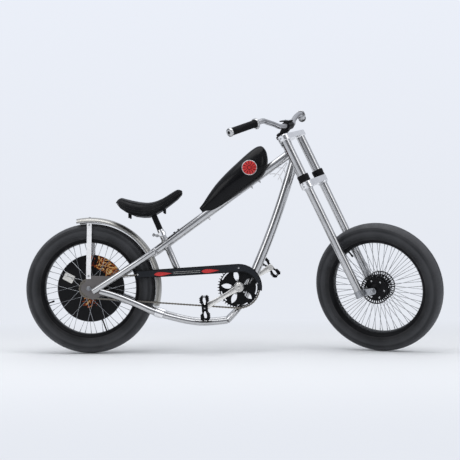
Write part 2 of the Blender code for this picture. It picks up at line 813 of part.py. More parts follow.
def make_axle(name, parent, hub_half, plate_inner, plate_outer, location=(0.0, 0.0, 0.0)):
    """A wheel axle with its cones inside the plates and its nuts outside."""
    nut_end = plate_outer + SEAT_GAP + NUT_THICKNESS
    half = [
        (AXLE_RADIUS, hub_half + RUNNING_GAP),
        (CONE_RADIUS, hub_half + RUNNING_GAP),
        (CONE_RADIUS, plate_inner - SEAT_GAP),
        (AXLE_RADIUS, plate_inner - SEAT_GAP),
        (AXLE_RADIUS, plate_outer + SEAT_GAP),
        (NUT_RADIUS, plate_outer + SEAT_GAP),
        (NUT_RADIUS, nut_end),
        (AXLE_RADIUS, nut_end),
        (AXLE_RADIUS, nut_end + AXLE_STUB),
        (0.0, nut_end + AXLE_STUB),
    ]
    left = [(radius, -height) for radius, height in reversed(half)]
    return make_object(name, lathe(left + half, SMALL_ROUND), STEEL, parent, location, AXLE_ACROSS)


def pitch_radius(teeth):
    return CHAIN_PITCH / 2 / math.sin(math.pi / teeth)


SPROCKET_PITCH_RADIUS = pitch_radius(SPROCKET_TEETH)
CHAINRING_PITCH_RADIUS = pitch_radius(CHAINRING_TEETH)
CHAIN_LEAN = math.asin((CHAINRING_PITCH_RADIUS - SPROCKET_PITCH_RADIUS) / CHAINSTAY)
CHAIN_RUN = CHAINSTAY * math.cos(CHAIN_LEAN)
CHAINRING_ARC = CHAINRING_PITCH_RADIUS * (math.pi + 2 * CHAIN_LEAN)
SPROCKET_ARC = SPROCKET_PITCH_RADIUS * (math.pi - 2 * CHAIN_LEAN)
CHAIN_LENGTH = CHAINRING_ARC + SPROCKET_ARC + 2 * CHAIN_RUN
CHAIN_LINKS = round(CHAIN_LENGTH / CHAIN_PITCH)
CHAIN_STEP = CHAIN_LENGTH / CHAIN_LINKS
CHAIN_TOP_ANGLE = math.pi / 2 + CHAIN_LEAN


def chain_point(distance):
    """Place and heading at a distance along the chain from the chainring's top."""
    distance = distance % CHAIN_LENGTH
    large = CHAINRING_PITCH_RADIUS
    small = SPROCKET_PITCH_RADIUS
    if distance < CHAINRING_ARC:
        angle = CHAIN_TOP_ANGLE - distance / large
        return (BRACKET.x + large * math.cos(angle), AXLE_Z + large * math.sin(angle), angle - math.pi / 2)
    distance -= CHAINRING_ARC
    bottom = -CHAIN_TOP_ANGLE
    if distance < CHAIN_RUN:
        heading = bottom - math.pi / 2
        return (BRACKET.x + large * math.cos(bottom) + distance * math.cos(heading),
                AXLE_Z + large * math.sin(bottom) + distance * math.sin(heading), heading)
    distance -= CHAIN_RUN
    if distance < SPROCKET_ARC:
        angle = bottom - distance / small
        return (small * math.cos(angle), AXLE_Z + small * math.sin(angle), angle - math.pi / 2)
    distance -= SPROCKET_ARC
    heading = CHAIN_TOP_ANGLE - math.pi / 2
    return (small * math.cos(CHAIN_TOP_ANGLE) + distance * math.cos(heading),
            AXLE_Z + small * math.sin(CHAIN_TOP_ANGLE) + distance * math.sin(heading), heading)


def chain_section(distance, half_width):
    """The four corners of a cut across the chain, by side and level."""
    x, z, heading = chain_point(distance)
    out = Vector((-math.sin(heading), 0.0, math.cos(heading))) * (CHAIN_PLATE_HEIGHT / 2)
    middle = Vector((x, -CHAIN_LINE, z))
    corners = {}
    for level in (-1, 1):
        for side in (-1, 1):
            corners[side, level] = middle + out * level + Vector((0.0, side * half_width, 0.0))
    return corners


def teeth_pass(distance):
    """Whether the teeth of either wheel sweep past the roller at a distance."""
    x, z, heading = chain_point(distance)
    reach = TOOTH_HEIGHT + CHAIN_PLATE_HEIGHT
    on_sprocket = math.hypot(x, z - AXLE_Z) < SPROCKET_PITCH_RADIUS + reach
    return on_sprocket or math.hypot(x - BRACKET.x, z - AXLE_Z) < CHAINRING_PITCH_RADIUS + reach


def make_chain(parent):
    """A ladder of side plates and rollers, one closed body all the way round.

    The rollers that lie on a toothed wheel are parted by a groove, in which the
    teeth run at every angle of the wheel.
    """
    roller_half = CHAIN_ROLLER_LENGTH / 2
    groove_half = SPROCKET_THICKNESS / 2 + SEAT_GAP
    shape = bmesh.new()

    def corner_verts(distance, half_width):
        section = chain_section(distance, half_width)
        return {key: shape.verts.new(point) for key, point in section.items()}

    rims = []
    grooves = []
    for link in range(CHAIN_LINKS):
        distance = CHAIN_STEP * link
        rims.append(corner_verts(distance, CHAIN_HALF_WIDTH))
        grooves.append(corner_verts(distance, groove_half) if teeth_pass(distance) else None)

    def close_roller(rim, groove, end, distance):
        """The faces of half a roller, from its middle to one of its ends."""
        if groove is None:
            shape.faces.new((end[-1, -1], end[1, -1], end[1, 1], end[-1, 1]))
            for level in (-1, 1):
                shape.faces.new((rim[-1, level], rim[1, level], end[1, level], end[-1, level]))
            return
        lip = corner_verts(distance, groove_half)
        for side in (-1, 1):
            shape.faces.new((end[side, -1], lip[side, -1], lip[side, 1], end[side, 1]))
            shape.faces.new((lip[side, -1], groove[side, -1], groove[side, 1], lip[side, 1]))
            for level in (-1, 1):
                shape.faces.new((rim[side, level], groove[side, level], lip[side, level], end[side, level]))

    for link in range(CHAIN_LINKS):
        ahead = (link + 1) % CHAIN_LINKS
        here = rims[link]
        there = rims[ahead]
        near_distance = CHAIN_STEP * link + roller_half
        far_distance = CHAIN_STEP * (link + 1) - roller_half
        near = corner_verts(near_distance, CHAIN_INNER_HALF_WIDTH)
        far = corner_verts(far_distance, CHAIN_INNER_HALF_WIDTH)
        for side in (-1, 1):
            for level in (-1, 1):
                shape.faces.new((here[side, level], there[side, level], far[side, level], near[side, level]))
            shape.faces.new((here[side, -1], there[side, -1], there[side, 1], here[side, 1]))
            shape.faces.new((near[side, -1], far[side, -1], far[side, 1], near[side, 1]))
        close_roller(here, grooves[link], near, near_distance)
        close_roller(there, grooves[ahead], far, far_distance)
    return make_object("chain", shape, STEEL, parent)


def sprocket_outline(teeth, first_angle):
    """Toothed outline whose gaps sit on the chain's rollers."""
    pitch = pitch_radius(teeth)
    root = pitch - CHAIN_PLATE_HEIGHT / 2 - TOOTH_ROOT_CLEARANCE
    tip = pitch + TOOTH_HEIGHT
    points = []
    for tooth in range(teeth):
        middle = first_angle + math.tau * (tooth + 0.5) / teeth
        for radius, width in ((root, -TOOTH_ROOT_WIDTH), (tip, -TOOTH_TIP_WIDTH),
                              (tip, TOOTH_TIP_WIDTH), (root, TOOTH_ROOT_WIDTH)):
            angle = middle + width / 2 / radius
            points.append((radius * math.cos(angle), radius * math.sin(angle)))
    return points


def roller_angle(centre_x, arc_start, arc_length):
    """Direction from a sprocket's centre to a roller in the middle of its arc."""
    link = round((arc_start + arc_length / 2) / CHAIN_STEP)
    x, z, heading = chain_point(link * CHAIN_STEP)
    return math.atan2(z - AXLE_Z, x - centre_x)


def build_wheel(prefix, parent, front):
    make_tyre(prefix + "_tyre", parent)
    make_rim(prefix + "_rim", parent)
    bore = AXLE_RADIUS + RUNNING_GAP
    if front:
        ends = (FRONT_HUB_CORE_RADIUS, FRONT_HUB_END_RADIUS, FRONT_HUB_SHOULDER, FRONT_HUB_HALF_LENGTH)
        make_hub("front_hub_and_spokes", parent, FRONT_SPOKES_A_SIDE, FRONT_FLANGE_RADIUS, FRONT_FLANGE_Y, 1,
                 SPOKE_THICKNESS, 0.0, ends, bore, BLACK_METAL)
    else:
        ends = (REAR_HUB_CORE_RADIUS, REAR_HUB_END_RADIUS, REAR_HUB_SHOULDER, REAR_HUB_HALF_LENGTH)
        make_hub("rear_hub_and_spokes", parent, REAR_SPOKES_A_SIDE, REAR_FLANGE_RADIUS, REAR_FLANGE_Y, 2,
                 REAR_SPOKE_FOOT_WIDTH, REAR_SPOKE_LEAD, ends, bore, BLACK_METAL)


def build_rear_sprocket(parent):
    outline = sprocket_outline(SPROCKET_TEETH, roller_angle(0.0, CHAINRING_ARC + CHAIN_RUN, SPROCKET_ARC))
    shape = upright_prism(outline, -CHAIN_LINE - SPROCKET_THICKNESS / 2, -CHAIN_LINE + SPROCKET_THICKNESS / 2)
    sprocket = make_object("rear_sprocket", shape, STEEL, parent)
    hole = ring_hole("sprocket_hole", parent, REAR_HUB_END_RADIUS + SEAT_GAP, CHAIN_LINE)
    cut(sprocket, hole)


def ring_hole(name, parent, radius, middle_y):
    tool = rod(radius, 2 * OVERRUN, LARGE_ROUND, -OVERRUN)
    return make_tool(name, tool, parent, (0.0, -middle_y, 0.0), AXLE_ACROSS)


def build_card(parent):
    """Printed card between the two rows of rear spokes, holed for the hub."""
    shape = ring_bar(REAR_HUB_CORE_RADIUS + SEAT_GAP, CARD_RADIUS, CARD_THICKNESS, 36, -CARD_THICKNESS / 2)
    make_object("wheel_card", shape, CARD_BLACK, parent, rotation=AXLE_ACROSS)


def leaf_outline(angle):
    """Pointed window that runs outward from the chainring's middle."""
    points = []
    steps = 5
    length = WINDOW_OUTER_RADIUS - WINDOW_INNER_RADIUS
    for sign in (1, -1):
        for step in range(steps):
            share = step / steps if sign > 0 else 1 - step / steps
            radius = WINDOW_INNER_RADIUS + length * share
            bulge = math.sin(math.pi * share) ** WINDOW_FULLNESS if 0 < share < 1 else 0.0
            offset = sign * WINDOW_HALF_WIDTH * bulge
            points.append((radius * math.cos(angle) - offset * math.sin(angle),
                           radius * math.sin(angle) + offset * math.cos(angle)))
    return points


def rim_slot_outline(angle):
    """Curved slot under the teeth, between two leaf windows."""
    inner = RIM_SLOT_RADIUS - RIM_SLOT_WIDTH / 2
    outer = RIM_SLOT_RADIUS + RIM_SLOT_WIDTH / 2
    start = angle - RIM_SLOT_ANGLE / 2
    return (circle_points(0.0, 0.0, outer, 5, start, RIM_SLOT_ANGLE)
            + circle_points(0.0, 0.0, inner, 5, start, RIM_SLOT_ANGLE)[::-1])


def build_chainring(parent):
    outline = sprocket_outline(CHAINRING_TEETH, roller_angle(BRACKET.x, 0.0, CHAINRING_ARC) - CRANK_ANGLE)
    half = SPROCKET_THICKNESS / 2
    shape = upright_prism(outline, -CHAIN_LINE - half, -CHAIN_LINE + half)
    chainring = make_object("chainring", shape, BLACK_METAL, parent)
    cut(chainring, ring_hole("chainring_hole", parent, SPINDLE_RADIUS + SEAT_GAP, CHAIN_LINE))
    for index in range(WINDOW_COUNT):
        angle = math.tau * index / WINDOW_COUNT
        between = angle + math.pi / WINDOW_COUNT
        for stem, outline in (("leaf", leaf_outline(angle)), ("rim_slot", rim_slot_outline(between))):
            shape = upright_prism(outline, -CHAIN_LINE - OVERRUN, -CHAIN_LINE + OVERRUN)
            cut(chainring, make_tool(f"{stem}_window_{index}", shape, parent))


def build_crank(parent, side):
    """Tapered arm along local X with its inner boss and the pedal's axle."""
    reach = side * CRANK_LENGTH
    near = side * CRANK_INNER_Y
    far = side * CRANK_OUTER_Y
    outline = hull(circle_points(0.0, 0.0, CRANK_ROOT_RADIUS) + circle_points(reach, 0.0, CRANK_TIP_RADIUS))
    arm = make_object(side_name("crank", side), upright_prism(outline, near, far), SILVER, parent)
    boss_end = BRACKET_HALF_LENGTH + RUNNING_GAP
    if side < 0:
        boss_end = CHAIN_LINE + SPROCKET_THICKNESS / 2 + SEAT_GAP
    boss = rod(CRANK_BOSS_RADIUS, CRANK_INNER_Y - boss_end + SEAT_GAP, MIDDLE_ROUND, boss_end)
    turn = (side * AXLE_ACROSS[0], 0.0, 0.0)
    unite(arm, make_tool(side_name("crank_boss", side), boss, parent, rotation=turn))
    axle = rod(PEDAL_AXLE_RADIUS, PEDAL_WIDTH + PEDAL_FLANGE + CRANK_THICKNESS / 2, SMALL_ROUND,
               CRANK_OUTER_Y - CRANK_THICKNESS / 2)
    unite(arm, make_tool(side_name("pedal_axle", side), axle, parent, (reach, 0.0, 0.0), turn))
    hole = rod(SPINDLE_RADIUS + SEAT_GAP, CRANK_OUTER_Y, MIDDLE_ROUND, 0.0)
    cut(arm, make_tool(side_name("spindle_hole", side), hole, parent, rotation=turn))


def build_spindle(parent):
    half = CRANK_OUTER_Y - CRANK_THICKNESS / 4
    shape = rod(SPINDLE_RADIUS, 2 * half, MIDDLE_ROUND, -half)
    make_object("bottom_bracket_spindle", shape, STEEL, parent, rotation=AXLE_ACROSS)


def pedal_outline():
    """Side view of a cage pedal: a narrow waist and two toothed ends."""
    half_length = PEDAL_LENGTH / 2
    half_cage = PEDAL_CAGE_HEIGHT / 2
    quarter = []
    for length_share, cage_share, tooth_share in PEDAL_SHARES:
        quarter.append((half_length * length_share, half_cage * cage_share + PEDAL_TOOTH * tooth_share))
    right = quarter + [(x, -z) for x, z in reversed(quarter)]
    return right + [(-x, -z) for x, z in right]


def build_pedal(parent, side):
    low = CRANK_OUTER_Y + PEDAL_FLANGE
    high = low + PEDAL_WIDTH
    near, far = (low, high) if side > 0 else (-high, -low)
    shape = upright_prism(pedal_outline(), near, far)
    pedal = make_object(side_name("pedal", side), shape, BLACK_METAL, parent)
    outer = PEDAL_LENGTH / 2 - PEDAL_CAGE_WALL
    half = PEDAL_CAGE_HEIGHT / 2 - PEDAL_CAGE_WALL
    throat = PEDAL_CAGE_HEIGHT / 2 * PEDAL_SHARES[0][1] - PEDAL_CAGE_WALL
    upper = [(PEDAL_BARREL_RADIUS, throat)]
    for length_share, height_share in PEDAL_WINDOW_SHARES:
        upper.append((outer * length_share, half * height_share))
    for sign in (-1, 1):
        window = [(sign * x, z) for x, z in upper] + [(sign * x, -z) for x, z in reversed(upper)]
        shape = upright_prism(window, near - OVERRUN, far + OVERRUN)
        cut(pedal, make_tool(side_name(f"pedal_window_{sign + 1}", side), shape, parent))
    bore = rod(PEDAL_AXLE_RADIUS + SEAT_GAP, high + 2 * OVERRUN, SMALL_ROUND, 0.0)
    turn = (side * AXLE_ACROSS[0], 0.0, 0.0)
    cut(pedal, make_tool(side_name("pedal_bore", side), bore, parent, rotation=turn))


def lobe_plate_outline(centre_radius, lobe_radius):
    """Fork crown seen from above: a plate round the steerer and both legs."""
    points = circle_points(0.0, 0.0, centre_radius, SMALL_ROUND)
    for side in (-1, 1):
        points += circle_points(LEG_OFFSET, side * LEG_HALF_SPREAD, lobe_radius, SMALL_ROUND)
    return hull(points)


def build_crown(name, parent, low, thickness, finish):
    shape = prism(lobe_plate_outline(CROWN_CENTRE_RADIUS, CROWN_LOBE_RADIUS), low, low + thickness)
    crown = make_object(name, shape, finish, parent)
    base = low - OVERRUN
    length = thickness + 2 * OVERRUN
    hole = rod(STEERER_RADIUS + SEAT_GAP, length, MIDDLE_ROUND, base)
    cut(crown, make_tool(name + "_steerer_hole", hole, parent))
    for side in (-1, 1):
        hole = rod(UPPER_LEG_RADIUS + SEAT_GAP, length, LARGE_ROUND, base)
        cut(crown, make_tool(side_name(name + "_leg_hole", side), hole, parent,
                             (LEG_OFFSET, side * LEG_HALF_SPREAD, 0.0)))


def build_fork_leg(parent, side):
    place = (LEG_OFFSET, side * LEG_HALF_SPREAD, 0.0)
    profile = [
        (0.0, LEG_FOOT_HEIGHT),
        (LOWER_LEG_RADIUS, LEG_FOOT_HEIGHT),
        (LOWER_LEG_RADIUS, LOWER_CROWN_HEIGHT),
        (UPPER_LEG_RADIUS, LOWER_CROWN_HEIGHT),
        (UPPER_LEG_RADIUS, TOP_CROWN_TOP),
        (0.0, TOP_CROWN_TOP),
    ]
    make_object(side_name("fork_leg", side), lathe(profile, LARGE_ROUND), CHROME, parent, place)
    low = LOWER_CROWN_TOP + SEAT_GAP
    collar = ring_bar(UPPER_LEG_RADIUS + SEAT_GAP, COLLAR_RADIUS, COLLAR_HEIGHT, LARGE_ROUND, low)
    make_object(side_name("fork_collar", side), collar, BLACK_RUBBER, parent, place)


def build_fork_tip(parent, side):
    """Socket round the leg's foot with the forward plate that takes the axle."""
    near, far = sorted((side * FORK_TIP_INNER_Y, side * FORK_TIP_OUTER_Y))
    socket_top = LEG_FOOT_HEIGHT + FORK_TIP_SOCKET_HEIGHT
    eye = circle_points(AXLE_OFFSET, 0.0, FORK_TIP_EYE_RADIUS)
    root = [(LEG_OFFSET, LEG_FOOT_HEIGHT), (LEG_OFFSET, socket_top)]
    tip = make_object(side_name("fork_tip", side), upright_prism(hull(eye + root), near, far), SILVER, parent)
    place = (LEG_OFFSET, side * LEG_HALF_SPREAD, 0.0)
    socket = rod(FORK_TIP_SOCKET_RADIUS, FORK_TIP_SOCKET_HEIGHT, LARGE_ROUND, LEG_FOOT_HEIGHT)
    unite(tip, make_tool(side_name("tip_socket", side), socket, parent, place))
    leg = rod(LOWER_LEG_RADIUS + SEAT_GAP, FORK_TIP_SOCKET_HEIGHT + 2 * OVERRUN, LARGE_ROUND,
              LEG_FOOT_HEIGHT - OVERRUN)
    cut(tip, make_tool(side_name("tip_bore", side), leg, parent, place))
    middle = side * (FORK_TIP_INNER_Y + FORK_TIP_THICKNESS / 2)
    half = FORK_TIP_THICKNESS / 2 + OVERRUN
    hole = rod(AXLE_RADIUS + SEAT_GAP, 2 * half, SMALL_ROUND, -half)
    eye_place = (AXLE_OFFSET, middle, 0.0)
    cut(tip, make_tool(side_name("tip_axle_hole", side), hole, parent, eye_place, AXLE_ACROSS))


def build_steerer(parent):
    """Steering column with the race that seats on each crown."""
    profile = [
        (0.0, LOWER_CROWN_HEIGHT),
        (STEERER_RADIUS, LOWER_CROWN_HEIGHT),
        (STEERER_RADIUS, LOWER_CROWN_TOP + SEAT_GAP),
        (RACE_RADIUS, LOWER_CROWN_TOP + SEAT_GAP),
        (RACE_RADIUS, LOWER_CROWN_TOP + RACE_THICKNESS),
        (STEERER_RADIUS, LOWER_CROWN_TOP + RACE_THICKNESS),
        (STEERER_RADIUS, TOP_CROWN_HEIGHT - RACE_THICKNESS),
        (RACE_RADIUS, TOP_CROWN_HEIGHT - RACE_THICKNESS),
        (RACE_RADIUS, TOP_CROWN_HEIGHT - SEAT_GAP),
        (STEERER_RADIUS, TOP_CROWN_HEIGHT - SEAT_GAP),
        (STEERER_RADIUS, TOP_CROWN_TOP),
        (0.0, TOP_CROWN_TOP),
    ]
    make_object("steerer", lathe(profile, MIDDLE_ROUND), STEEL, parent)


def build_stem(parent):
    """Post on the top crown and a lidded block that clamps the handlebar."""
    base = TOP_CROWN_TOP + SEAT_GAP
    post = rod(STEM_POST_RADIUS, STEM_POST_HEIGHT, MIDDLE_ROUND, base)
    stem = make_object("stem", post, BLACK_METAL, parent)
    clamp = rod(STEM_CLAMP_RADIUS, 2 * STEM_CLAMP_HALF_LENGTH, MIDDLE_ROUND, -STEM_CLAMP_HALF_LENGTH)
    place = (BAR_FORWARD, 0.0, BAR_CLAMP_HEIGHT)
    unite(stem, make_tool("stem_clamp", clamp, parent, place, AXLE_ACROSS))
    low = base + STEM_POST_HEIGHT * STEM_LOW_SHARE
    high = base + STEM_POST_HEIGHT * STEM_HIGH_SHARE
    barrel = circle_points(BAR_FORWARD, BAR_CLAMP_HEIGHT, STEM_CLAMP_RADIUS - RUNNING_GAP)
    block = hull(barrel + [(0.0, low), (0.0, high)])
    block_shape = upright_prism(block, -STEM_BLOCK_HALF_WIDTH, STEM_BLOCK_HALF_WIDTH)
    unite(stem, make_tool("stem_block", block_shape, parent))
    lid_low = BAR_CLAMP_HEIGHT + BAR_RADIUS + SEAT_GAP + RUNNING_GAP
    lid_high = BAR_CLAMP_HEIGHT + STEM_CLAMP_RADIUS + STEM_LID_THICKNESS
    lid = [(BAR_FORWARD - STEM_LID_LENGTH / 2, lid_low), (BAR_FORWARD + STEM_LID_LENGTH / 2, lid_low),
           (BAR_FORWARD + STEM_LID_LENGTH / 2, lid_high), (BAR_FORWARD - STEM_LID_LENGTH / 2, lid_high)]
    lid_shape = upright_prism(lid, -STEM_LID_HALF_WIDTH, STEM_LID_HALF_WIDTH)
    unite(stem, make_tool("stem_lid", lid_shape, parent))
    bar = rod(BAR_RADIUS + SEAT_GAP, 4 * STEM_CLAMP_HALF_LENGTH, MIDDLE_ROUND, -2 * STEM_CLAMP_HALF_LENGTH)
    cut(stem, make_tool("stem_bar_hole", bar, parent, place, AXLE_ACROSS))


def bar_half_path():
    """Knots from the stem to the start of the left grip, and the grip's way."""
    rise_top = BAR_CLAMP_HEIGHT + BAR_RISE
    knots = [
        Vector((BAR_FORWARD, 0.0, BAR_CLAMP_HEIGHT)),
        Vector((BAR_FORWARD, STEM_CLAMP_HALF_LENGTH + BAR_RADIUS / 2, BAR_CLAMP_HEIGHT)),
    ]
    for forward_share, width_share, rise_share in BAR_SHARES:
        knots.append(Vector((BAR_FORWARD * forward_share, BAR_SHOULDER_Y * width_share,
                             BAR_CLAMP_HEIGHT + BAR_RISE * rise_share)))
    knots.append(Vector((BAR_SHOULDER_FORWARD, BAR_SHOULDER_Y, rise_top)))
    along = Vector((-math.sin(BAR_SWEEP), math.cos(BAR_SWEEP), 0.0))
    grip_start = knots[-1] + along * BAR_GRIP_STEP
    return knots, along, grip_start


def build_handlebar(parent):
    knots, along, grip_start = bar_half_path()
    half = knots[:1] + smooth_path(knots[1:] + [grip_start], 2)
    half.append(grip_start + along * (GRIP_COLLAR_LENGTH + GRIP_LENGTH))
    right = [Vector((point.x, -point.y, point.z)) for point in reversed(half[1:])]
    make_object("handlebar", tube_mesh(right + half, BAR_RADIUS, SMALL_ROUND), SILVER, parent)


def build_grip(parent, side):
    """Clamp collar, ribbed grip and domed end cap in line on the bar's end."""
    knots, along, start = bar_half_path()
    start = Vector((start.x, side * start.y, start.z))
    along = Vector((along.x, side * along.y, along.z))
    inner = BAR_RADIUS + SEAT_GAP
    length = GRIP_COLLAR_LENGTH
    place, turn = place_between(start, start + along)
    collar = ring_bar(inner, GRIP_COLLAR_RADIUS, length - SEAT_GAP, MIDDLE_ROUND)
    make_object(side_name("grip_collar", side), collar, CHROME, parent, place, turn)
    profile = [(inner, 0.0), (GRIP_FLANGE_RADIUS, 0.0), (GRIP_FLANGE_RADIUS, GRIP_FLANGE_LENGTH)]
    profile.append((GRIP_RADIUS, GRIP_FLANGE_LENGTH))
    profile.append((GRIP_RADIUS, GRIP_LENGTH - SEAT_GAP))
    profile.append((inner, GRIP_LENGTH - SEAT_GAP))
    grip_place = place + along * length
    make_object(side_name("grip", side), lathe(profile, MIDDLE_ROUND), BLACK_RUBBER, parent, grip_place, turn)
    cap_start = place + along * (length + GRIP_LENGTH)
    cap = [
        (0.0, SEAT_GAP),
        (GRIP_CAP_RADIUS, SEAT_GAP),
        (GRIP_CAP_RADIUS, GRIP_CAP_LENGTH * GRIP_CAP_EDGE_SHARE),
        (GRIP_CAP_RADIUS * GRIP_CAP_FACE_SHARE, GRIP_CAP_LENGTH),
        (0.0, GRIP_CAP_LENGTH),
    ]
    make_object(side_name("grip_cap", side), lathe(cap, MIDDLE_ROUND), CHROME, parent, cap_start, turn)


def build_front_axle(parent):
    make_axle("front_axle", parent, FRONT_HUB_HALF_LENGTH, FORK_TIP_INNER_Y, FORK_TIP_OUTER_Y,
              (AXLE_OFFSET, 0.0, 0.0))


def cutting_bar(name, parent, start, end, radius, facets):
    """A cutter along two points, run past both of them."""
    along = (end - start).normalized()
    begin = start - along * OVERRUN
    place, turn = place_between(begin, end)
    return make_tool(name, rod(radius, (end - start).length + 2 * OVERRUN, facets), parent, place, turn)


def build_head_tube(parent):
    low = on_steering_axis(HEAD_TUBE_LOW)
    length = HEAD_TUBE_HIGH - HEAD_TUBE_LOW
    profile = [
        (STEERER_RADIUS + RUNNING_GAP, 0.0),
        (HEAD_CUP_RADIUS, 0.0),
        (HEAD_CUP_RADIUS, HEAD_CUP_HEIGHT),
        (HEAD_TUBE_RADIUS, HEAD_CUP_HEIGHT),
        (HEAD_TUBE_RADIUS, length - HEAD_CUP_HEIGHT),
        (HEAD_CUP_RADIUS, length - HEAD_CUP_HEIGHT),
        (HEAD_CUP_RADIUS, length),
        (STEERER_RADIUS + RUNNING_GAP, length),
    ]
    place, turn = place_between(low, low + STEER_UP)
    make_object("head_tube", lathe(profile, LARGE_ROUND), CHROME, parent, place, turn)
    outer = [(HEAD_TUBE_RADIUS + SEAT_GAP, -OVERRUN), (HEAD_TUBE_RADIUS + SEAT_GAP, length + OVERRUN),
             (0.0, length + OVERRUN), (0.0, -OVERRUN)]
    return make_tool("head_tube_seat", lathe(outer[::-1], LARGE_ROUND), parent, place, turn)


def build_top_tube(parent, head_seat, yoke_seat, seat_tube_seat):
    shape = rod(TOP_TUBE_RADIUS, (TOP_TUBE_HEAD - TOP_TUBE_TAIL).length, LARGE_ROUND)
    place, turn = place_between(TOP_TUBE_TAIL, TOP_TUBE_HEAD)
    tube = make_object("top_tube", shape, CHROME, parent, place, turn)
    cut(tube, head_seat)
    cut(tube, yoke_seat)
    cut(tube, seat_tube_seat)
    return cutting_bar("top_tube_seat", parent, TOP_TUBE_TAIL, TOP_TUBE_HEAD, TOP_TUBE_RADIUS + SEAT_GAP,
                       LARGE_ROUND)


def build_down_tube(parent, head_seat, top_seat, bracket_seat):
    path = down_tube_path()
    tube = make_object("down_tube", tube_mesh(path, DOWN_TUBE_RADIUS, MIDDLE_ROUND), CHROME, parent)
    cut(tube, head_seat)
    cut(tube, top_seat)
    cut(tube, bracket_seat)
    return make_tool("down_tube_seat", tube_mesh(path, DOWN_TUBE_RADIUS + SEAT_GAP, MIDDLE_ROUND), parent)


def build_bracket(parent):
    half = BRACKET_HALF_LENGTH
    shape = ring_bar(SPINDLE_RADIUS + RUNNING_GAP, BRACKET_RADIUS, 2 * half, LARGE_ROUND, -half)
    make_object("bottom_bracket_shell", shape, CHROME, parent, BRACKET, AXLE_ACROSS)
    half += OVERRUN
    seat = rod(BRACKET_RADIUS + SEAT_GAP, 2 * half, LARGE_ROUND, -half)
    return make_tool("bracket_seat", seat, parent, BRACKET, AXLE_ACROSS)


def build_yoke(parent):
    half = STAY_TOP_Y + STAY_RADIUS * YOKE_END_SHARE
    shape = rod(YOKE_RADIUS, 2 * half, MIDDLE_ROUND, -half)
    make_object("rear_yoke", shape, CHROME, parent, YOKE_POINT, AXLE_ACROSS)
    seat = rod(YOKE_RADIUS + SEAT_GAP, 2 * half + 2 * OVERRUN, MIDDLE_ROUND, -half - OVERRUN)
    return make_tool("yoke_seat", seat, parent, YOKE_POINT, AXLE_ACROSS)


def grown(outline, distance):
    """The outline moved out by a distance, corner by corner."""
    count = len(outline)
    area = sum(outline[i][0] * outline[(i + 1) % count][1] - outline[(i + 1) % count][0] * outline[i][1]
               for i in range(count))
    sign = 1 if area > 0 else -1
    moved = []
    for index in range(count):
        before = Vector(outline[index - 1])
        here = Vector(outline[index])
        after = Vector(outline[(index + 1) % count])
        first = (here - before).normalized()
        second = (after - here).normalized()
        normal = (Vector((first.y, -first.x)) + Vector((second.y, -second.x))) * sign
        moved.append(tuple(here + normal / (1 + first.dot(second)) * distance))
    return moved


def build_rear_plate(parent, side):
    near, far = sorted((side * PLATE_INNER_Y, side * PLATE_OUTER_Y))
    shape = upright_prism(plate_outline(), near, far)
    plate = make_object(side_name("rear_plate", side), shape, STEEL, parent)
    middle = (near + far) / 2
    hole = rod(AXLE_RADIUS + SEAT_GAP, 2 * OVERRUN, SMALL_ROUND, -OVERRUN)
    place = (0.0, middle, AXLE_Z)
    cut(plate, make_tool(side_name("plate_axle_hole", side), hole, parent, place, AXLE_ACROSS))
    seat = upright_prism(grown(plate_outline(), SEAT_GAP), near - SEAT_GAP, far + SEAT_GAP)
    return make_tool(side_name("plate_seat", side), seat, parent)


def build_seat_stay(parent, side, plate_seat, yoke_seat):
    foot = Vector((STAY_FOOT_X, side * STAY_FOOT_Y, STAY_FOOT_Z))
    top = Vector((YOKE_POINT.x, side * STAY_TOP_Y, YOKE_POINT.z))
    shape = tube_mesh([foot, top], STAY_RADIUS, MIDDLE_ROUND)
    stay = make_object(side_name("seat_stay", side), shape, CHROME, parent)
    cut(stay, plate_seat)
    cut(stay, yoke_seat)
    seat = tube_mesh([foot, top], STAY_RADIUS + SEAT_GAP, MIDDLE_ROUND)
    return make_tool(side_name("stay_seat", side), seat, parent)


def build_rail(parent, side, plate_seat, stay_seat):
    """Lower rail that drops from the rear plate and rises again in front."""
    knots = rail_knots(side)
    shape = tube_mesh(knots, RAIL_RADIUS, SMALL_ROUND)
    rail = make_object(side_name("lower_rail", side), shape, CHROME, parent)
    cut(rail, plate_seat)
    cut(rail, stay_seat)
    seat = tube_mesh(knots, RAIL_RADIUS + SEAT_GAP, SMALL_ROUND)
    return make_tool(side_name("rail_seat", side), seat, parent)


def build_cradle(parent, down_seat, rail_seats):
    """Bent strut that ties the frame's foot to the two lower rails."""
    end = rail_knots(1)[-1]
    top = Vector((DOWN_TUBE_FOOT_X, CRADLE_TOP_Y, DOWN_TUBE_FOOT_Z - CRADLE_RADIUS))
    left = [top, (top + end) / 2 + Vector((CRADLE_RADIUS / 4, 0.0, 0.0)), end]
    path = [Vector((point.x, -point.y, point.z)) for point in reversed(left)] + left
    cradle = make_object("cradle_strut", tube_mesh(path, CRADLE_RADIUS, SMALL_ROUND), CHROME, parent)
    cut(cradle, down_seat)
    for seat in rail_seats:
        cut(cradle, seat)


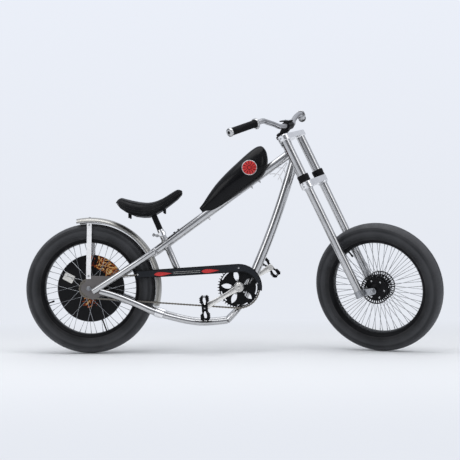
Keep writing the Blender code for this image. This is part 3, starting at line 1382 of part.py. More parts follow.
def build_seat_tube(parent):
    wall_inner = SEAT_POST_RADIUS + SEAT_GAP
    profile = [
        (wall_inner, 0.0),
        (SEAT_TUBE_RADIUS, 0.0),
        (SEAT_TUBE_RADIUS, SEAT_TUBE_LENGTH),
        (0.0, SEAT_TUBE_LENGTH),
        (0.0, SEAT_POST_INSERT + SEAT_GAP),
        (wall_inner, SEAT_POST_INSERT + SEAT_GAP),
    ]
    place, turn = place_between(SEAT_TUBE_TOP, SEAT_TUBE_FOOT)
    make_object("seat_tube", lathe(profile, MIDDLE_ROUND), CHROME, parent, place, turn)
    seat = cutting_bar("seat_tube_seat", parent, SEAT_TUBE_TOP, SEAT_TUBE_FOOT, SEAT_TUBE_RADIUS + SEAT_GAP,
                       MIDDLE_ROUND)
    post = rod(SEAT_POST_RADIUS, SEAT_POST_EXPOSED + SEAT_POST_INSERT, MIDDLE_ROUND, -SEAT_POST_EXPOSED)
    make_object("seat_post", post, BLACK_METAL, parent, place, turn)
    clamp_outer = SEAT_TUBE_RADIUS + SEAT_CLAMP_WALL
    clamp_inner = SEAT_TUBE_RADIUS + SEAT_GAP
    ring = ring_bar(clamp_inner, clamp_outer, SEAT_CLAMP_HEIGHT, MIDDLE_ROUND, SEAT_CLAMP_DROP)
    clamp = make_object("seat_clamp", ring, CHROME, parent, place, turn)
    behind = Vector((SEAT_TUBE_DOWN.z, 0.0, -SEAT_TUBE_DOWN.x))
    middle = SEAT_TUBE_TOP + SEAT_TUBE_DOWN * (SEAT_CLAMP_DROP + SEAT_CLAMP_HEIGHT / 2)
    bolt = rod(SEAT_BOLT_RADIUS, 2 * SEAT_BOLT_HALF_LENGTH, SMALL_ROUND, -SEAT_BOLT_HALF_LENGTH)
    bolt_place = middle + behind * (clamp_outer + SEAT_BOLT_RADIUS / 2)
    unite(clamp, make_tool("seat_clamp_bolt", bolt, parent, bolt_place, AXLE_ACROSS))
    return seat


def saddle_sections(pan):
    """Rings across the saddle or its pan, from the tail to the nose."""
    sections = []
    for x_share, top_share, bottom_share, width_share in SADDLE_SHARES:
        x = SADDLE_REAR_X + SADDLE_LENGTH * x_share
        top = SADDLE_MID_Z + SADDLE_HEIGHT * top_share
        bottom = SADDLE_MID_Z + SADDLE_HEIGHT * bottom_share
        half = SADDLE_HALF_WIDTH * width_share
        split = bottom + min(SADDLE_PAN_THICKNESS, (top - bottom) * SADDLE_PAN_SHARE)
        if pan:
            left = [(half * SADDLE_PAN_FLOOR_SHARE, bottom), (half * SADDLE_PAN_EDGE_SHARE, split)]
        else:
            low = split + SEAT_GAP
            left = [(half * y_share, low + (top - low) * z_share) for y_share, z_share in SADDLE_RING_SHARES]
        outline = left + [(-y, z) for y, z in reversed(left)]
        sections.append([Vector((x, y, z)) for y, z in outline])
    return sections


def build_saddle(parent):
    make_object("saddle", loft(saddle_sections(False)), BLACK_LEATHER, parent)
    pan = make_object("saddle_pan", loft(saddle_sections(True)), BLACK_METAL, parent)
    top = SEAT_TUBE_TOP - SEAT_TUBE_DOWN * (SEAT_POST_EXPOSED + OVERRUN)
    cut(pan, cutting_bar("post_seat", parent, top, SEAT_TUBE_TOP, SEAT_POST_RADIUS + SEAT_GAP, MIDDLE_ROUND))


def build_tank(parent, top_seat):
    """Teardrop tank straddling the top tube, lofted along it."""
    sections = []
    for along_share, top_share, bottom_share, width_share in TANK_SHARES:
        along = TANK_START + TANK_LENGTH * along_share
        top = TANK_HEIGHT * top_share
        bottom = TANK_HEIGHT * bottom_share
        half_width = TANK_HALF_WIDTH * width_share
        middle = (top + bottom) / 2
        half_height = (top - bottom) / 2
        ring = []
        count = 16
        for step in range(count):
            angle = math.tau * (step + 0.5) / count
            cosine = math.cos(angle)
            sine = math.sin(angle)
            across = math.copysign(abs(cosine) ** TANK_SIDE_FULLNESS, cosine) * half_width
            rise = math.copysign(abs(sine) ** TANK_TOP_FULLNESS, sine) * half_height
            # The sides lean in toward the top
            lean = 1.0 - TANK_SHOULDER_SHARE * max(sine, 0.0)
            base = TOP_TUBE_TAIL + TOP_TUBE_ALONG * along + TOP_TUBE_RISE * (middle + rise)
            ring.append(base + Vector((0.0, across * lean, 0.0)))
        sections.append(ring)
    tank = make_object("tank", loft(sections), BLACK_PAINT, parent)
    cut(tank, top_seat)


def fender_angles():
    """Directions of the fender's rings, with one ring right at the yoke."""
    before = FENDER_STEPS_BEFORE_YOKE
    after = FENDER_STEPS_AFTER_YOKE
    angles = [FENDER_START + (YOKE_ANGLE - FENDER_START) * step / before for step in range(before)]
    return angles + [YOKE_ANGLE + (FENDER_END - YOKE_ANGLE) * step / after for step in range(after + 1)]


def build_fender(parent):
    """Rolled gutter over the rear wheel, with an arched section."""
    outer = []
    inner = []
    depth = FENDER_RADIUS - FENDER_LIP_RADIUS
    for step in range(FENDER_PROFILE_STEPS + 1):
        angle = math.pi * step / FENDER_PROFILE_STEPS
        arch = math.sin(angle) ** FENDER_ARCH_POWER
        outer.append((FENDER_LIP_RADIUS + depth * arch, -FENDER_HALF_WIDTH * math.cos(angle)))
        inner.append((FENDER_LIP_RADIUS + (depth - FENDER_THICKNESS) * arch,
                      -(FENDER_HALF_WIDTH - FENDER_THICKNESS) * math.cos(angle)))
    profile = outer + inner[::-1]
    sections = []
    for angle in fender_angles():
        sections.append([Vector((r * math.cos(angle), y, AXLE_Z + r * math.sin(angle))) for r, y in profile])
    make_object("rear_fender", loft(sections), CHROME, parent)


def build_fender_strut(parent, side):
    """Flat stay from the rear plate's outer face up to the fender's lip."""
    plate_y = PLATE_OUTER_Y + SEAT_GAP + STRUT_THICKNESS / 2
    fender_y = FENDER_HALF_WIDTH + SEAT_GAP + STRUT_THICKNESS / 2
    top_z = AXLE_Z + FENDER_LIP_RADIUS - STRUT_THICKNESS
    plate_top = plate_outline()[0][1]
    path = [
        Vector((0.0, side * plate_y, plate_top - STRUT_LAP)),
        Vector((0.0, side * plate_y, plate_top + STRUT_LAP)),
        Vector((0.0, side * fender_y, top_z - 2 * STRUT_LAP)),
        Vector((0.0, side * fender_y, top_z)),
    ]
    shape = bar_strip(path, Vector((1.0, 0.0, 0.0)), STRUT_WIDTH, STRUT_THICKNESS)
    make_object(side_name("fender_strut", side), shape, CHROME, parent)


def guard_outline():
    """Band over the chain's top run that hoops round the chainring's front."""
    rise = BRACKET.z + GUARD_HOOP_RADIUS - GUARD_REAR_MIDDLE_Z - GUARD_REAR_HEIGHT / 2
    lean = math.atan(rise / (BRACKET.x - GUARD_REAR_X))
    start = math.pi / 2 + lean / 2
    outer = []
    inner = []
    steps = 10
    for step in range(steps + 1):
        share = step / steps
        angle = start + (GUARD_HOOP_END - start) * share
        inner_share = GUARD_INNER_START_SHARE + (GUARD_INNER_END_SHARE - GUARD_INNER_START_SHARE) * share
        for edge, radius in ((outer, GUARD_HOOP_RADIUS), (inner, GUARD_HOOP_RADIUS * inner_share)):
            edge.append((BRACKET.x + radius * math.cos(angle), BRACKET.z + radius * math.sin(angle)))
    rear_top = (GUARD_REAR_X, GUARD_REAR_MIDDLE_Z + GUARD_REAR_HEIGHT / 2)
    rear_low = (GUARD_REAR_X, GUARD_REAR_MIDDLE_Z - GUARD_REAR_HEIGHT / 2)
    return [rear_top] + outer + inner[::-1] + [rear_low], outer, rear_top


def build_chain_guard(parent):
    outline, outer, rear_top = guard_outline()
    far = -GUARD_OUTER_Y + GUARD_THICKNESS
    guard = make_object("chain_guard", upright_prism(outline, -GUARD_OUTER_Y, far), BLACK_PAINT, parent)
    edge = [rear_top] + outer
    lip = edge + [tuple(Vector(point) + Vector(shift)) for point, shift in zip(edge, lip_shifts(edge))][::-1]
    shape = upright_prism(lip, -GUARD_OUTER_Y, -GUARD_OUTER_Y + GUARD_LIP_DEPTH)
    unite(guard, make_tool("guard_lip", shape, parent))
    foot = SEAT_TUBE_FOOT - SEAT_TUBE_DOWN * SEAT_TUBE_RADIUS / 2
    reach = GUARD_OUTER_Y - GUARD_THICKNESS / 2 - SEAT_TUBE_RADIUS - SEAT_GAP
    peg = rod(GUARD_PEG_RADIUS, reach, SMALL_ROUND, SEAT_TUBE_RADIUS + SEAT_GAP)
    turn = (-AXLE_ACROSS[0], 0.0, 0.0)
    unite(guard, make_tool("guard_peg", peg, parent, Vector((foot.x, 0.0, foot.z)), turn))


def lip_shifts(edge):
    """Inward offsets one sheet thick along the guard's outer edge."""
    shifts = []
    last = len(edge) - 1
    for index in range(last + 1):
        along = (Vector(edge[min(index + 1, last)]) - Vector(edge[max(index - 1, 0)])).normalized()
        shifts.append((along.y * GUARD_THICKNESS, -along.x * GUARD_THICKNESS))
    return shifts


def build_brake_arm(parent):
    """Reaction arm of the coaster brake, inside the left plate."""
    far = PLATE_INNER_Y - SEAT_GAP - RUNNING_GAP
    near = far - BRAKE_ARM_THICKNESS
    knot = rail_knots(1)[1]
    outline = hull(circle_points(0.0, AXLE_Z, BRAKE_ARM_ROOT_RADIUS, SMALL_ROUND)
                   + circle_points(knot.x + RAIL_RADIUS, knot.z + RAIL_RADIUS / 2, BRAKE_ARM_TIP_RADIUS, 10))
    arm = make_object("coaster_brake_arm", upright_prism(outline, near, far), STEEL, parent)
    hole = rod(CONE_RADIUS + SEAT_GAP, 2 * OVERRUN, SMALL_ROUND, -OVERRUN)
    cut(arm, make_tool("brake_arm_hole", hole, parent, (0.0, (near + far) / 2, AXLE_Z), AXLE_ACROSS))


def build_web(parent):
    """Wire web filling the corner under the head tube."""
    down = down_tube_path()
    down_along = (down[4] - down[6]).normalized()
    down_side = Vector((down_along.z, 0.0, -down_along.x)) * (DOWN_TUBE_RADIUS + WEB_WIRE_RADIUS + SEAT_GAP)
    top_side = TOP_TUBE_RISE * -(TOP_TUBE_RADIUS + WEB_WIRE_RADIUS + SEAT_GAP)
    top_start = TOP_TUBE_HEAD + top_side
    down_start = down[6] + down_side
    top_far = top_start - TOP_TUBE_ALONG
    corner = intersect_line_line(top_start, top_far, down_start, down_start + down_along)[0]
    web_parts = []
    for reach in WEB_ARC_REACHES:
        top_end = corner - TOP_TUBE_ALONG * reach
        low_end = corner + down_along * reach
        middle = (top_end + low_end) / 2
        web_parts.append([top_end, middle + (corner - middle) * WEB_SAG_SHARE, low_end])
    path = smooth_path(web_parts[0], 2)
    web = make_object("web_gusset", tube_mesh(path, WEB_WIRE_RADIUS, 6), CHROME, parent)
    for index, knots in enumerate(web_parts[1:]):
        tool = make_tool(f"web_arc_{index}", tube_mesh(smooth_path(knots, 2), WEB_WIRE_RADIUS, 6), parent)
        unite(web, tool)
    outer = web_parts[-1]
    for index, share in enumerate(WEB_RADIAL_SHARES):
        end = outer[0] + (outer[2] - outer[0]) * share
        start = corner + (end - corner) * WEB_START_SHARE
        tool = make_tool(f"web_radial_{index}", tube_mesh([start, end], WEB_WIRE_RADIUS, 6), parent)
        unite(web, tool)


def build_frame(parent):
    head_seat = build_head_tube(parent)
    yoke_seat = build_yoke(parent)
    seat_tube_seat = build_seat_tube(parent)
    top_seat = build_top_tube(parent, head_seat, yoke_seat, seat_tube_seat)
    bracket_seat = build_bracket(parent)
    down_seat = build_down_tube(parent, head_seat, top_seat, bracket_seat)
    rail_seats = []
    for side in (-1, 1):
        plate_seat = build_rear_plate(parent, side)
        stay_seat = build_seat_stay(parent, side, plate_seat, yoke_seat)
        rail_seats.append(build_rail(parent, side, plate_seat, stay_seat))
        build_fender_strut(parent, side)
    build_cradle(parent, down_seat, rail_seats)
    build_fender(parent)
    build_tank(parent, top_seat)
    build_saddle(parent)
    build_chain_guard(parent)
    make_chain(parent)
    build_brake_arm(parent)
    build_web(parent)
    make_axle("rear_axle", parent, REAR_HUB_HALF_LENGTH, PLATE_INNER_Y, PLATE_OUTER_Y, (0.0, 0.0, AXLE_Z))


def build_steering(parent):
    build_steerer(parent)
    build_crown("top_crown", parent, TOP_CROWN_HEIGHT, TOP_CROWN_THICKNESS, SILVER)
    build_crown("lower_crown", parent, LOWER_CROWN_HEIGHT, LOWER_CROWN_THICKNESS, SILVER)
    for side in (-1, 1):
        build_fork_leg(parent, side)
        build_fork_tip(parent, side)
        build_grip(parent, side)
    build_stem(parent)
    build_handlebar(parent)
    build_front_axle(parent)


def build_bicycle():
    clear_scene()
    bicycle = make_empty("bicycle", location=(-RIDER_X, 0.0, -RIDER_Z))
    frame = make_empty("frame", bicycle)
    build_frame(frame)

    rear_wheel = make_empty("rear_wheel", bicycle, (0.0, 0.0, AXLE_Z))
    build_wheel("rear", rear_wheel, False)
    build_rear_sprocket(rear_wheel)
    build_card(rear_wheel)

    crank = make_empty("crank", bicycle, BRACKET)
    crank.rotation_euler = (0.0, -CRANK_ANGLE, 0.0)
    build_spindle(crank)
    build_chainring(crank)
    for side in (-1, 1):
        build_crank(crank, side)
        pedal = make_empty(side_name("pedal_turn", side), crank, (side * CRANK_LENGTH, 0.0, 0.0))
        facing = PEDAL_RIGHT_ANGLE if side < 0 else PEDAL_LEFT_ANGLE
        pedal.rotation_euler = (0.0, CRANK_ANGLE - facing, 0.0)
        build_pedal(pedal, side)

    steering = make_empty("steering", bicycle, STEER_FOOT)
    lean = Matrix.Rotation(-RAKE, 4, "Y")
    steering.rotation_euler = (lean @ Matrix.Rotation(-STEER_ANGLE, 4, "Z")).to_euler()
    build_steering(steering)
    front_wheel = make_empty("front_wheel", steering, (AXLE_OFFSET, 0.0, 0.0))
    build_wheel("front", front_wheel, True)


build_bicycle()
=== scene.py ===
"""Looks of a chopper bicycle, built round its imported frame.

The frame carries the sizes and the joints. Here every piece gets its finish, and
the pieces that need a finer shape than the frame's solids get one of their own.
"""

import math

import bmesh
import bpy
from mathutils import Matrix, Vector


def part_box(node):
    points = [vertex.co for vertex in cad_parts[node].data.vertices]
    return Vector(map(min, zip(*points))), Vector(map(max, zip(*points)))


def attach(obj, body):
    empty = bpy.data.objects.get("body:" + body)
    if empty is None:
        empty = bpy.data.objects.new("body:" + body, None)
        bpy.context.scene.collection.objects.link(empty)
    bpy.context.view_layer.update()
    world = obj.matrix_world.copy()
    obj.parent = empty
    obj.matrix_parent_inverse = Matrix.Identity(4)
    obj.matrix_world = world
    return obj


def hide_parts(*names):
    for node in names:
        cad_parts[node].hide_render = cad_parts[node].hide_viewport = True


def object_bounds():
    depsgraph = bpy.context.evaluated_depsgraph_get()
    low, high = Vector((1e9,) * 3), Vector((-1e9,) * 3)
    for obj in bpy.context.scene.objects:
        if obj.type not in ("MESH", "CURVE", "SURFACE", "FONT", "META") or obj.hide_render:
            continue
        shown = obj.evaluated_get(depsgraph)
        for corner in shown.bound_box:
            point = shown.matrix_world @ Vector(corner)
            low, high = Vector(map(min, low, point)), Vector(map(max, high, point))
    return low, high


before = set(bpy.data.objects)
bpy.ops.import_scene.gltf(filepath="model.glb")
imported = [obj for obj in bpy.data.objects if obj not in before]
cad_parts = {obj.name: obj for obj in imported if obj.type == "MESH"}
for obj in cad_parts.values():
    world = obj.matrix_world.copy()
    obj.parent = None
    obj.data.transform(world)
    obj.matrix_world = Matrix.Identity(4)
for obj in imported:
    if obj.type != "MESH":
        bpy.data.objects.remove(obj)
cad_low, cad_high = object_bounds()

# The rider's seat point, the row frame's origin, from the rear axle and the ground
SEAT_X = 0.2300
SEAT_Z = 0.6480

# Wheels
TYRE_RADIUS = 0.279
TYRE_HALF_WIDTH = 0.038
TYRE_BEAD_RADIUS = 0.2093
RIM_BED_RADIUS = 0.196
RIM_EDGE_RADIUS = 0.2125
TREAD_COLUMNS = 480
TREAD_BLOCKS = 80
TREAD_ROWS = 23
TREAD_DROP = 0.0175
TREAD_DROP_POWER = 2.6
TREAD_HALF_SHARE = 0.92
GROOVE_DEPTH = 0.0013
MIDDLE_RIB_SHARE = 0.06
MIDDLE_GROOVE_SHARE = 0.14
SIDE_GROOVE_SHARES = (0.44, 0.50)
BLOCK_GAP_SHARE = 0.18
BLOCK_END_SHARE = 0.93
SPOKE_RADIUS = 0.00105
NIPPLE_RADIUS = 0.0021
NIPPLE_LENGTH = 0.013
SPOKE_END_Y = 0.006
FRONT_SPOKES_A_SIDE = 36
FRONT_FLANGE_RADIUS = 0.064
FRONT_FLANGE_Y = 0.036
FRONT_FLANGE_THICKNESS = 0.0036
FRONT_HUB_SCREWS = 6
FRONT_SCREW_REACH = 0.0385
FRONT_HUB_HALF_LENGTH = 0.058
REAR_SPOKES_A_SIDE = 24
REAR_FLANGE_RADIUS = 0.035
REAR_FLANGE_Y = 0.034
REAR_HUB_HALF_LENGTH = 0.055
REAR_SPOKE_LEAD = math.radians(45.0)
FRONT_VALVE_TURN = math.radians(105.0)
REAR_VALVE_TURN = math.radians(199.0)
CARD_RADIUS = 0.1445
CARD_HALF_THICKNESS = 0.0010
CARD_HOLE_RADIUS = 0.0245
LABEL_SIZE = (0.046, 0.034)
LABEL_PLACE = (-0.096, 0.046)
LABEL_TURN = math.radians(-28.0)
TIE_SIZE = (0.054, 0.0058)
TIE_REACH = 0.171
TIE_TURN = math.radians(-70.0)

# Axle ends
AXLE_RADIUS = 0.005
PLATE_OUTER_Y = 0.066
PLATE_INNER_Y = 0.060
FORK_TIP_OUTER_Y = 0.0745
FORK_TIP_INNER_Y = 0.0665
NUT_RADIUS = 0.0095
NUT_HEIGHT = 0.009
AXLE_STUB = 0.007
THREAD_RIDGES = 5
THREAD_STEP = 0.0012

# Screw heads: radius and height
HUB_SCREW = (0.0042, 0.0028)
CHAINRING_SCREW = (0.0046, 0.0026)
STRUT_FOOT_SCREW = (0.0050, 0.0030)
STRUT_HEAD_SCREW = (0.0042, 0.0026)
FENDER_SCREW = (0.0046, 0.0028)
GUARD_SCREW = (0.0045, 0.0026)
CROWN_SCREW = (0.0040, 0.0028)
STEM_SCREW = (0.0038, 0.0030)

# Drive
CHAIN_PITCH = 0.0127
CHAINRING_TEETH = 44
SPROCKET_TEETH = 20
CHAINSTAY = 0.6395
CHAIN_LINE = 0.052
CHAIN_PLATE_HEIGHT = 0.0084
CHAIN_PLATE_THICKNESS = 0.0008
CHAIN_INNER_PLATE = 0.0026
CHAIN_OUTER_PLATE = 0.0036
CRANK_LENGTH = 0.165
CRANK_ANGLE = math.radians(30.0)
CRANK_INNER_Y = 0.0795
CRANK_OUTER_Y = 0.0935
ARM_STEPS = 24
ARM_BOSS_RADIUS = 0.0180
ARM_EYE_RADIUS = 0.0135
PEDAL_WIDTH = 0.088
PEDAL_GAP = 0.008
PEDAL_SKIN = 0.0016
CHAINRING_BOLTS = 5
CHAINRING_BOLT_REACH = 0.0300

# Fork and steering, heights along the steering axis
WHEELBASE = 1.248
RAKE = math.radians(25.2)
STEER_ANGLE = math.radians(30.0)
AXLE_OFFSET = 0.0936
LEG_OFFSET = 0.040
LEG_HALF_SPREAD = 0.084
UPPER_LEG_RADIUS = 0.019
LOWER_LEG_RADIUS = 0.0175
LEG_FOOT_HEIGHT = -0.002
LOWER_CROWN_HEIGHT = 0.515
LOWER_CROWN_TOP = 0.541
TOP_CROWN_HEIGHT = 0.738
TOP_CROWN_TOP = 0.760
CROWN_LOBE_RADIUS = 0.0245
COLLAR_RADIUS = 0.025
COLLAR_HEIGHT = 0.031
HEAD_TUBE_RADIUS = 0.0200
HEAD_CUP_RADIUS = 0.0240
HEAD_CUP_HEIGHT = 0.014
BAR_RADIUS = 0.0111
BAR_FORWARD = 0.046
BAR_CLAMP_HEIGHT = 0.797
BAR_RISE = 0.043
BAR_SHOULDER_Y = 0.205
BAR_SHOULDER_FORWARD = 0.038
BAR_SWEEP = math.radians(22.0)
BAR_GRIP_STEP = 0.034
STEM_CLAMP_HALF_LENGTH = 0.027
STEM_CLAMP_RADIUS = 0.0185
STEM_POST_RADIUS = 0.0220
STEM_POST_HEIGHT = 0.024
STEM_BLOCK_HALF_WIDTH = 0.0190
STEM_LID_THICKNESS = 0.007
STEM_LID_LENGTH = 0.046
STEM_LID_HALF_WIDTH = 0.024
STEM_NECK_FOOT = 0.0125
STEM_LID_TOP = STEM_LID_THICKNESS * 0.7
STEM_BOLT_PLACES = (-0.011, 0.017)
STEM_BOLT_Y = 0.017
HEADSET_RING_RADIUS = 0.0270
HEADSET_RIBS = 28
GRIP_LENGTH = 0.137
GRIP_RADIUS = 0.0155
GRIP_FLANGE_RADIUS = 0.0200
GRIP_COLLAR_LENGTH = 0.014
GRIP_COLLAR_RADIUS = 0.0190
GRIP_CAP_RADIUS = 0.0180
GRIP_CAP_LENGTH = 0.011
GRIP_RIBS = 24

# Fender, frame tubes and their welds
TOP_TUBE_RADIUS = 0.0190
TOP_TUBE_HEAD_HEIGHT = 0.6865
DOWN_TUBE_RADIUS = 0.0200
DOWN_TUBE_HEAD_HEIGHT = 0.650
DOWN_TUBE_FOOT_X = 0.655
DOWN_TUBE_FOOT_Z = 0.222
DOWN_TUBE_BOW = 0.014
FENDER_RADIUS = 0.306
FENDER_LIP_RADIUS = 0.2835
FENDER_HALF_WIDTH = 0.043
FENDER_START = math.radians(-15.0)
FENDER_END = math.radians(101.0)
FENDER_SHEET = 0.0018
FENDER_STEPS = 72
FENDER_EDGE_STEPS = 60
FENDER_EDGE_RADIUS = 0.0016
FENDER_BOLT_TURN = math.radians(91.0)
YOKE_RADIUS = 0.013
YOKE_GAP = 0.0003
YOKE_ANGLE = math.radians(29.0)
STAY_RADIUS = 0.0143
STAY_FOOT = (0.0186, 0.0765, 0.2647)
STAY_TOP_Y = 0.0670
RAIL_RADIUS = 0.0125
RAIL_SLEEVE_RADIUS = 0.0142
RAIL_SLEEVE_END_X = 0.316
RAIL_BAND_X = 0.282
RAIL_BAND_RADIUS = 0.0168
RAIL_REAR_Y = 0.0755
RAIL_FRONT_Y = 0.060
CRADLE_RADIUS = 0.0125
CRADLE_TOP_Y = 0.010
BRACKET_RADIUS = 0.0215
BRACKET_HALF_LENGTH = 0.040
SEAT_TUBE_RADIUS = 0.0143
SEAT_TUBE_TOP_X = 0.3005
SEAT_TUBE_TOP_Z = 0.530
SEAT_TUBE_ANGLE = math.radians(66.9)
SEAT_TUBE_LENGTH = 0.190
SEAT_POST_RADIUS = 0.0127
SEAT_POST_EXPOSED = 0.0735
SEAT_KNOB_START = (0.2845, 0.0, 0.5050)
SEAT_KNOB_END = (0.2680, 0.0, 0.5085)
WELD_RADIUS = 0.0021
WELD_POINTS = 72
WELD_RIPPLE = 0.16

# Tank, saddle and guard
TANK_START = 0.2665
TANK_LENGTH = 0.381
TANK_HEIGHT = 0.123
TANK_HALF_WIDTH = 0.058
TANK_SIDE_POWER = 0.72
TANK_RISE_POWER = 0.80
TANK_LEAN = 0.18
TANK_COLUMNS = 64
BADGE_ALONG = 0.5424
BADGE_HEIGHT = 0.0504
BADGE_RADIUS = 0.034
BADGE_RAYS = 12
BADGE_ENAMEL_PROUD = 0.0020
BADGE_RAY_PROUD = 0.0022
BADGE_RIM_PROUD = 0.0032
CLIP_PLACES = (0.270, 0.500, 0.542)
CLIP_LENGTH = 0.009
STOP_PLACES = (0.116, 0.137)
SADDLE_REAR_X = 0.1190
SADDLE_LENGTH = 0.2780
SADDLE_MID_Z = 0.630
SADDLE_HEIGHT = 0.122
SADDLE_HALF_WIDTH = 0.108
SADDLE_PAN_THICKNESS = 0.012
SADDLE_ROUND_POWER = 0.62
SADDLE_COLUMNS = 48
PIPING_RADIUS = 0.0019
LOW_PIPING_RADIUS = 0.0017
STITCH_RADIUS = 0.00045
PAN_PINS = ((0.170, 0.590), (0.321, 0.610))
PAN_PIN_Y = 0.030
PAN_PIN_LENGTH = 0.0240
GUARD_OUTER_Y = 0.0645
GUARD_REAR_X = 0.2015
GUARD_REAR_HEIGHT = 0.033
GUARD_REAR_MIDDLE_Z = 0.3365
GUARD_HOOP_RADIUS = 0.100
GUARD_HOOP_END = math.radians(-9.0)
GUARD_HOOP_STEPS = 40
GUARD_INNER_SHARE = 0.64
GUARD_INNER_GROWTH = 0.17
GUARD_FACE_INSET = 0.0042
GUARD_FACE_THICKNESS = 0.0005
STRIPE_HALF_SIZE = (0.0385, 0.0082)
STRIPE_BORDER_HALF_SIZE = (0.0405, 0.0095)
GUARD_STRIPES = ((0.3170, 0.3390), (0.5190, 0.3500))
GUARD_PINSTRIPE = ((0.3600, 0.3425), (0.4760, 0.3483))
PINSTRIPE_SPREAD = 0.0035
GUARD_SCREWS = ((0.2090, 0.3370), (0.6395, 0.3620), (0.7180, 0.2950))

# Four tables that follow the frame's own source
# Each lower rail's knots: X, Z and share of the way in from its rear to its front Y
RAIL_KNOTS = (
    (0.0500, 0.2665, 0.0), (0.1170, 0.2465, 0.0), (0.1980, 0.2140, 0.0), (0.2620, 0.1850, 0.1),
    (0.3180, 0.1640, 0.3), (0.3790, 0.1470, 0.6), (0.4280, 0.1360, 0.8), (0.4760, 0.1300, 1.0),
    (0.5240, 0.1310, 1.0), (0.5900, 0.1370, 1.0),
)
# Rings of saddle and tank: shares of length, top, underside and half width
SADDLE_SHARES = (
    (0.000, 0.150, 0.080, 0.62), (0.060, 0.300, -0.080, 0.86), (0.150, 0.260, -0.220, 0.98),
    (0.260, 0.200, -0.330, 1.00), (0.380, 0.150, -0.368, 0.94), (0.480, 0.135, -0.370, 0.80),
    (0.580, 0.175, -0.290, 0.60), (0.700, 0.285, -0.140, 0.44), (0.820, 0.455, 0.060, 0.36),
    (0.930, 0.595, 0.250, 0.31), (1.000, 0.560, 0.420, 0.22),
)
TANK_SHARES = (
    (0.000, 0.330, 0.158, 0.16), (0.072, 0.395, -0.050, 0.34), (0.162, 0.504, -0.075, 0.52),
    (0.313, 0.658, -0.090, 0.74), (0.492, 0.769, -0.105, 0.92), (0.650, 0.830, -0.112, 1.00),
    (0.780, 0.875, -0.108, 0.97), (0.870, 0.892, 0.000, 0.86), (0.940, 0.880, 0.200, 0.68),
    (0.985, 0.820, 0.430, 0.46), (1.000, 0.740, 0.560, 0.26),
)
# Bends of the handlebar: shares of its forward reach, shoulder and rise
BAR_SHARES = ((0.86, 0.351, 0.10), (0.75, 0.524, 0.48), (0.72, 0.829, 0.92))

# Turns round the saddle of its upper piping, lower piping and stitches, right and left, in degrees
SADDLE_LINES = ((142.0, 176.0, 147.0), (38.0, 4.0, 33.0))

# Tones matched to the photograph, as linear light
CHROME_TONE = (0.56, 0.56, 0.565)
CROWN_TONE = (0.93, 0.93, 0.94)
ARM_TONE = (0.88, 0.86, 0.82)
ALLOY_TONE = (0.62, 0.63, 0.65)
BAR_TONE = (0.44, 0.44, 0.45)
FENDER_TONE = (0.46, 0.45, 0.42)
STEEL_TONE = (0.22, 0.205, 0.20)
# Painted reflection: the chromed fender struts get this pale flat tone in place of their bright reflection
STRUT_REFLECTION_TONE = (0.82, 0.82, 0.84)
SPOKE_TONE = (0.38, 0.39, 0.41)
CHAIN_TONE = (0.25, 0.23, 0.20)
BLACK_TONE = (0.0045, 0.0046, 0.0055)
TYRE_WALL_TONE = (0.013, 0.014, 0.016)
TYRE_DUST_TONE = (0.062, 0.063, 0.069)
# Painted shade on the tyre wall next to the bead
TYRE_BEAD_SHADE_TONE = (0.006, 0.006, 0.007)
SLATE_TONE = (0.016, 0.018, 0.022)
RED_TONE = (0.54, 0.040, 0.040)
PALE_TONE = (0.72, 0.71, 0.68)
# Painted reflection: the chromed web wires get these pale flat tones in place of their bright reflection
WIRE_REFLECTION_TONE = (0.80, 0.80, 0.81)
WIRE_REFLECTION_PATCH_TONE = (0.66, 0.66, 0.67)
THREAD_TONE = (0.06, 0.06, 0.065)
THREAD_PATCH_TONE = (0.09, 0.09, 0.095)
FLOOR_TONE = (0.92, 0.94, 0.98)


def at(x, y, z):
    """A point given from the rear axle and the ground, in the row frame."""
    return Vector((x - SEAT_X, y, z - SEAT_Z))


def frame_from(origin, x_axis, y_axis, z_axis):
    """Matrix that lays local X, Y and Z along three directions."""
    place = Matrix((x_axis, y_axis, z_axis)).transposed().to_4x4()
    place.translation = origin
    return place


def side_frame(origin, left, up):
    """Seen from the right: local X forward, Y up and Z towards the viewer."""
    return frame_from(Vector(origin), Vector(left).cross(Vector(up)), Vector(up), -Vector(left))


AXLE_Z = TYRE_RADIUS
STEER_UP = Vector((-math.sin(RAKE), 0.0, math.cos(RAKE)))
STEER_FORWARD = Vector((math.cos(RAKE), 0.0, math.sin(RAKE)))
STEER_LEFT = STEER_FORWARD * math.sin(STEER_ANGLE) + Vector((0.0, math.cos(STEER_ANGLE), 0.0))
STEER_ORIGIN = at(WHEELBASE, 0.0, AXLE_Z) - STEER_FORWARD * AXLE_OFFSET
FORK = frame_from(STEER_ORIGIN, STEER_LEFT.cross(STEER_UP), STEER_LEFT, STEER_UP)
REAR = side_frame(at(0.0, 0.0, AXLE_Z), (0, 1, 0), (0, 0, 1))
CRANK = side_frame(at(CHAINSTAY, 0.0, AXLE_Z), (0, 1, 0), (0, 0, 1))
FRONT = side_frame(FORK @ Vector((AXLE_OFFSET, 0.0, 0.0)), STEER_LEFT, STEER_UP)


def on_steering_axis(height):
    """Point at a height along the steering axis."""
    return STEER_ORIGIN + STEER_UP * height


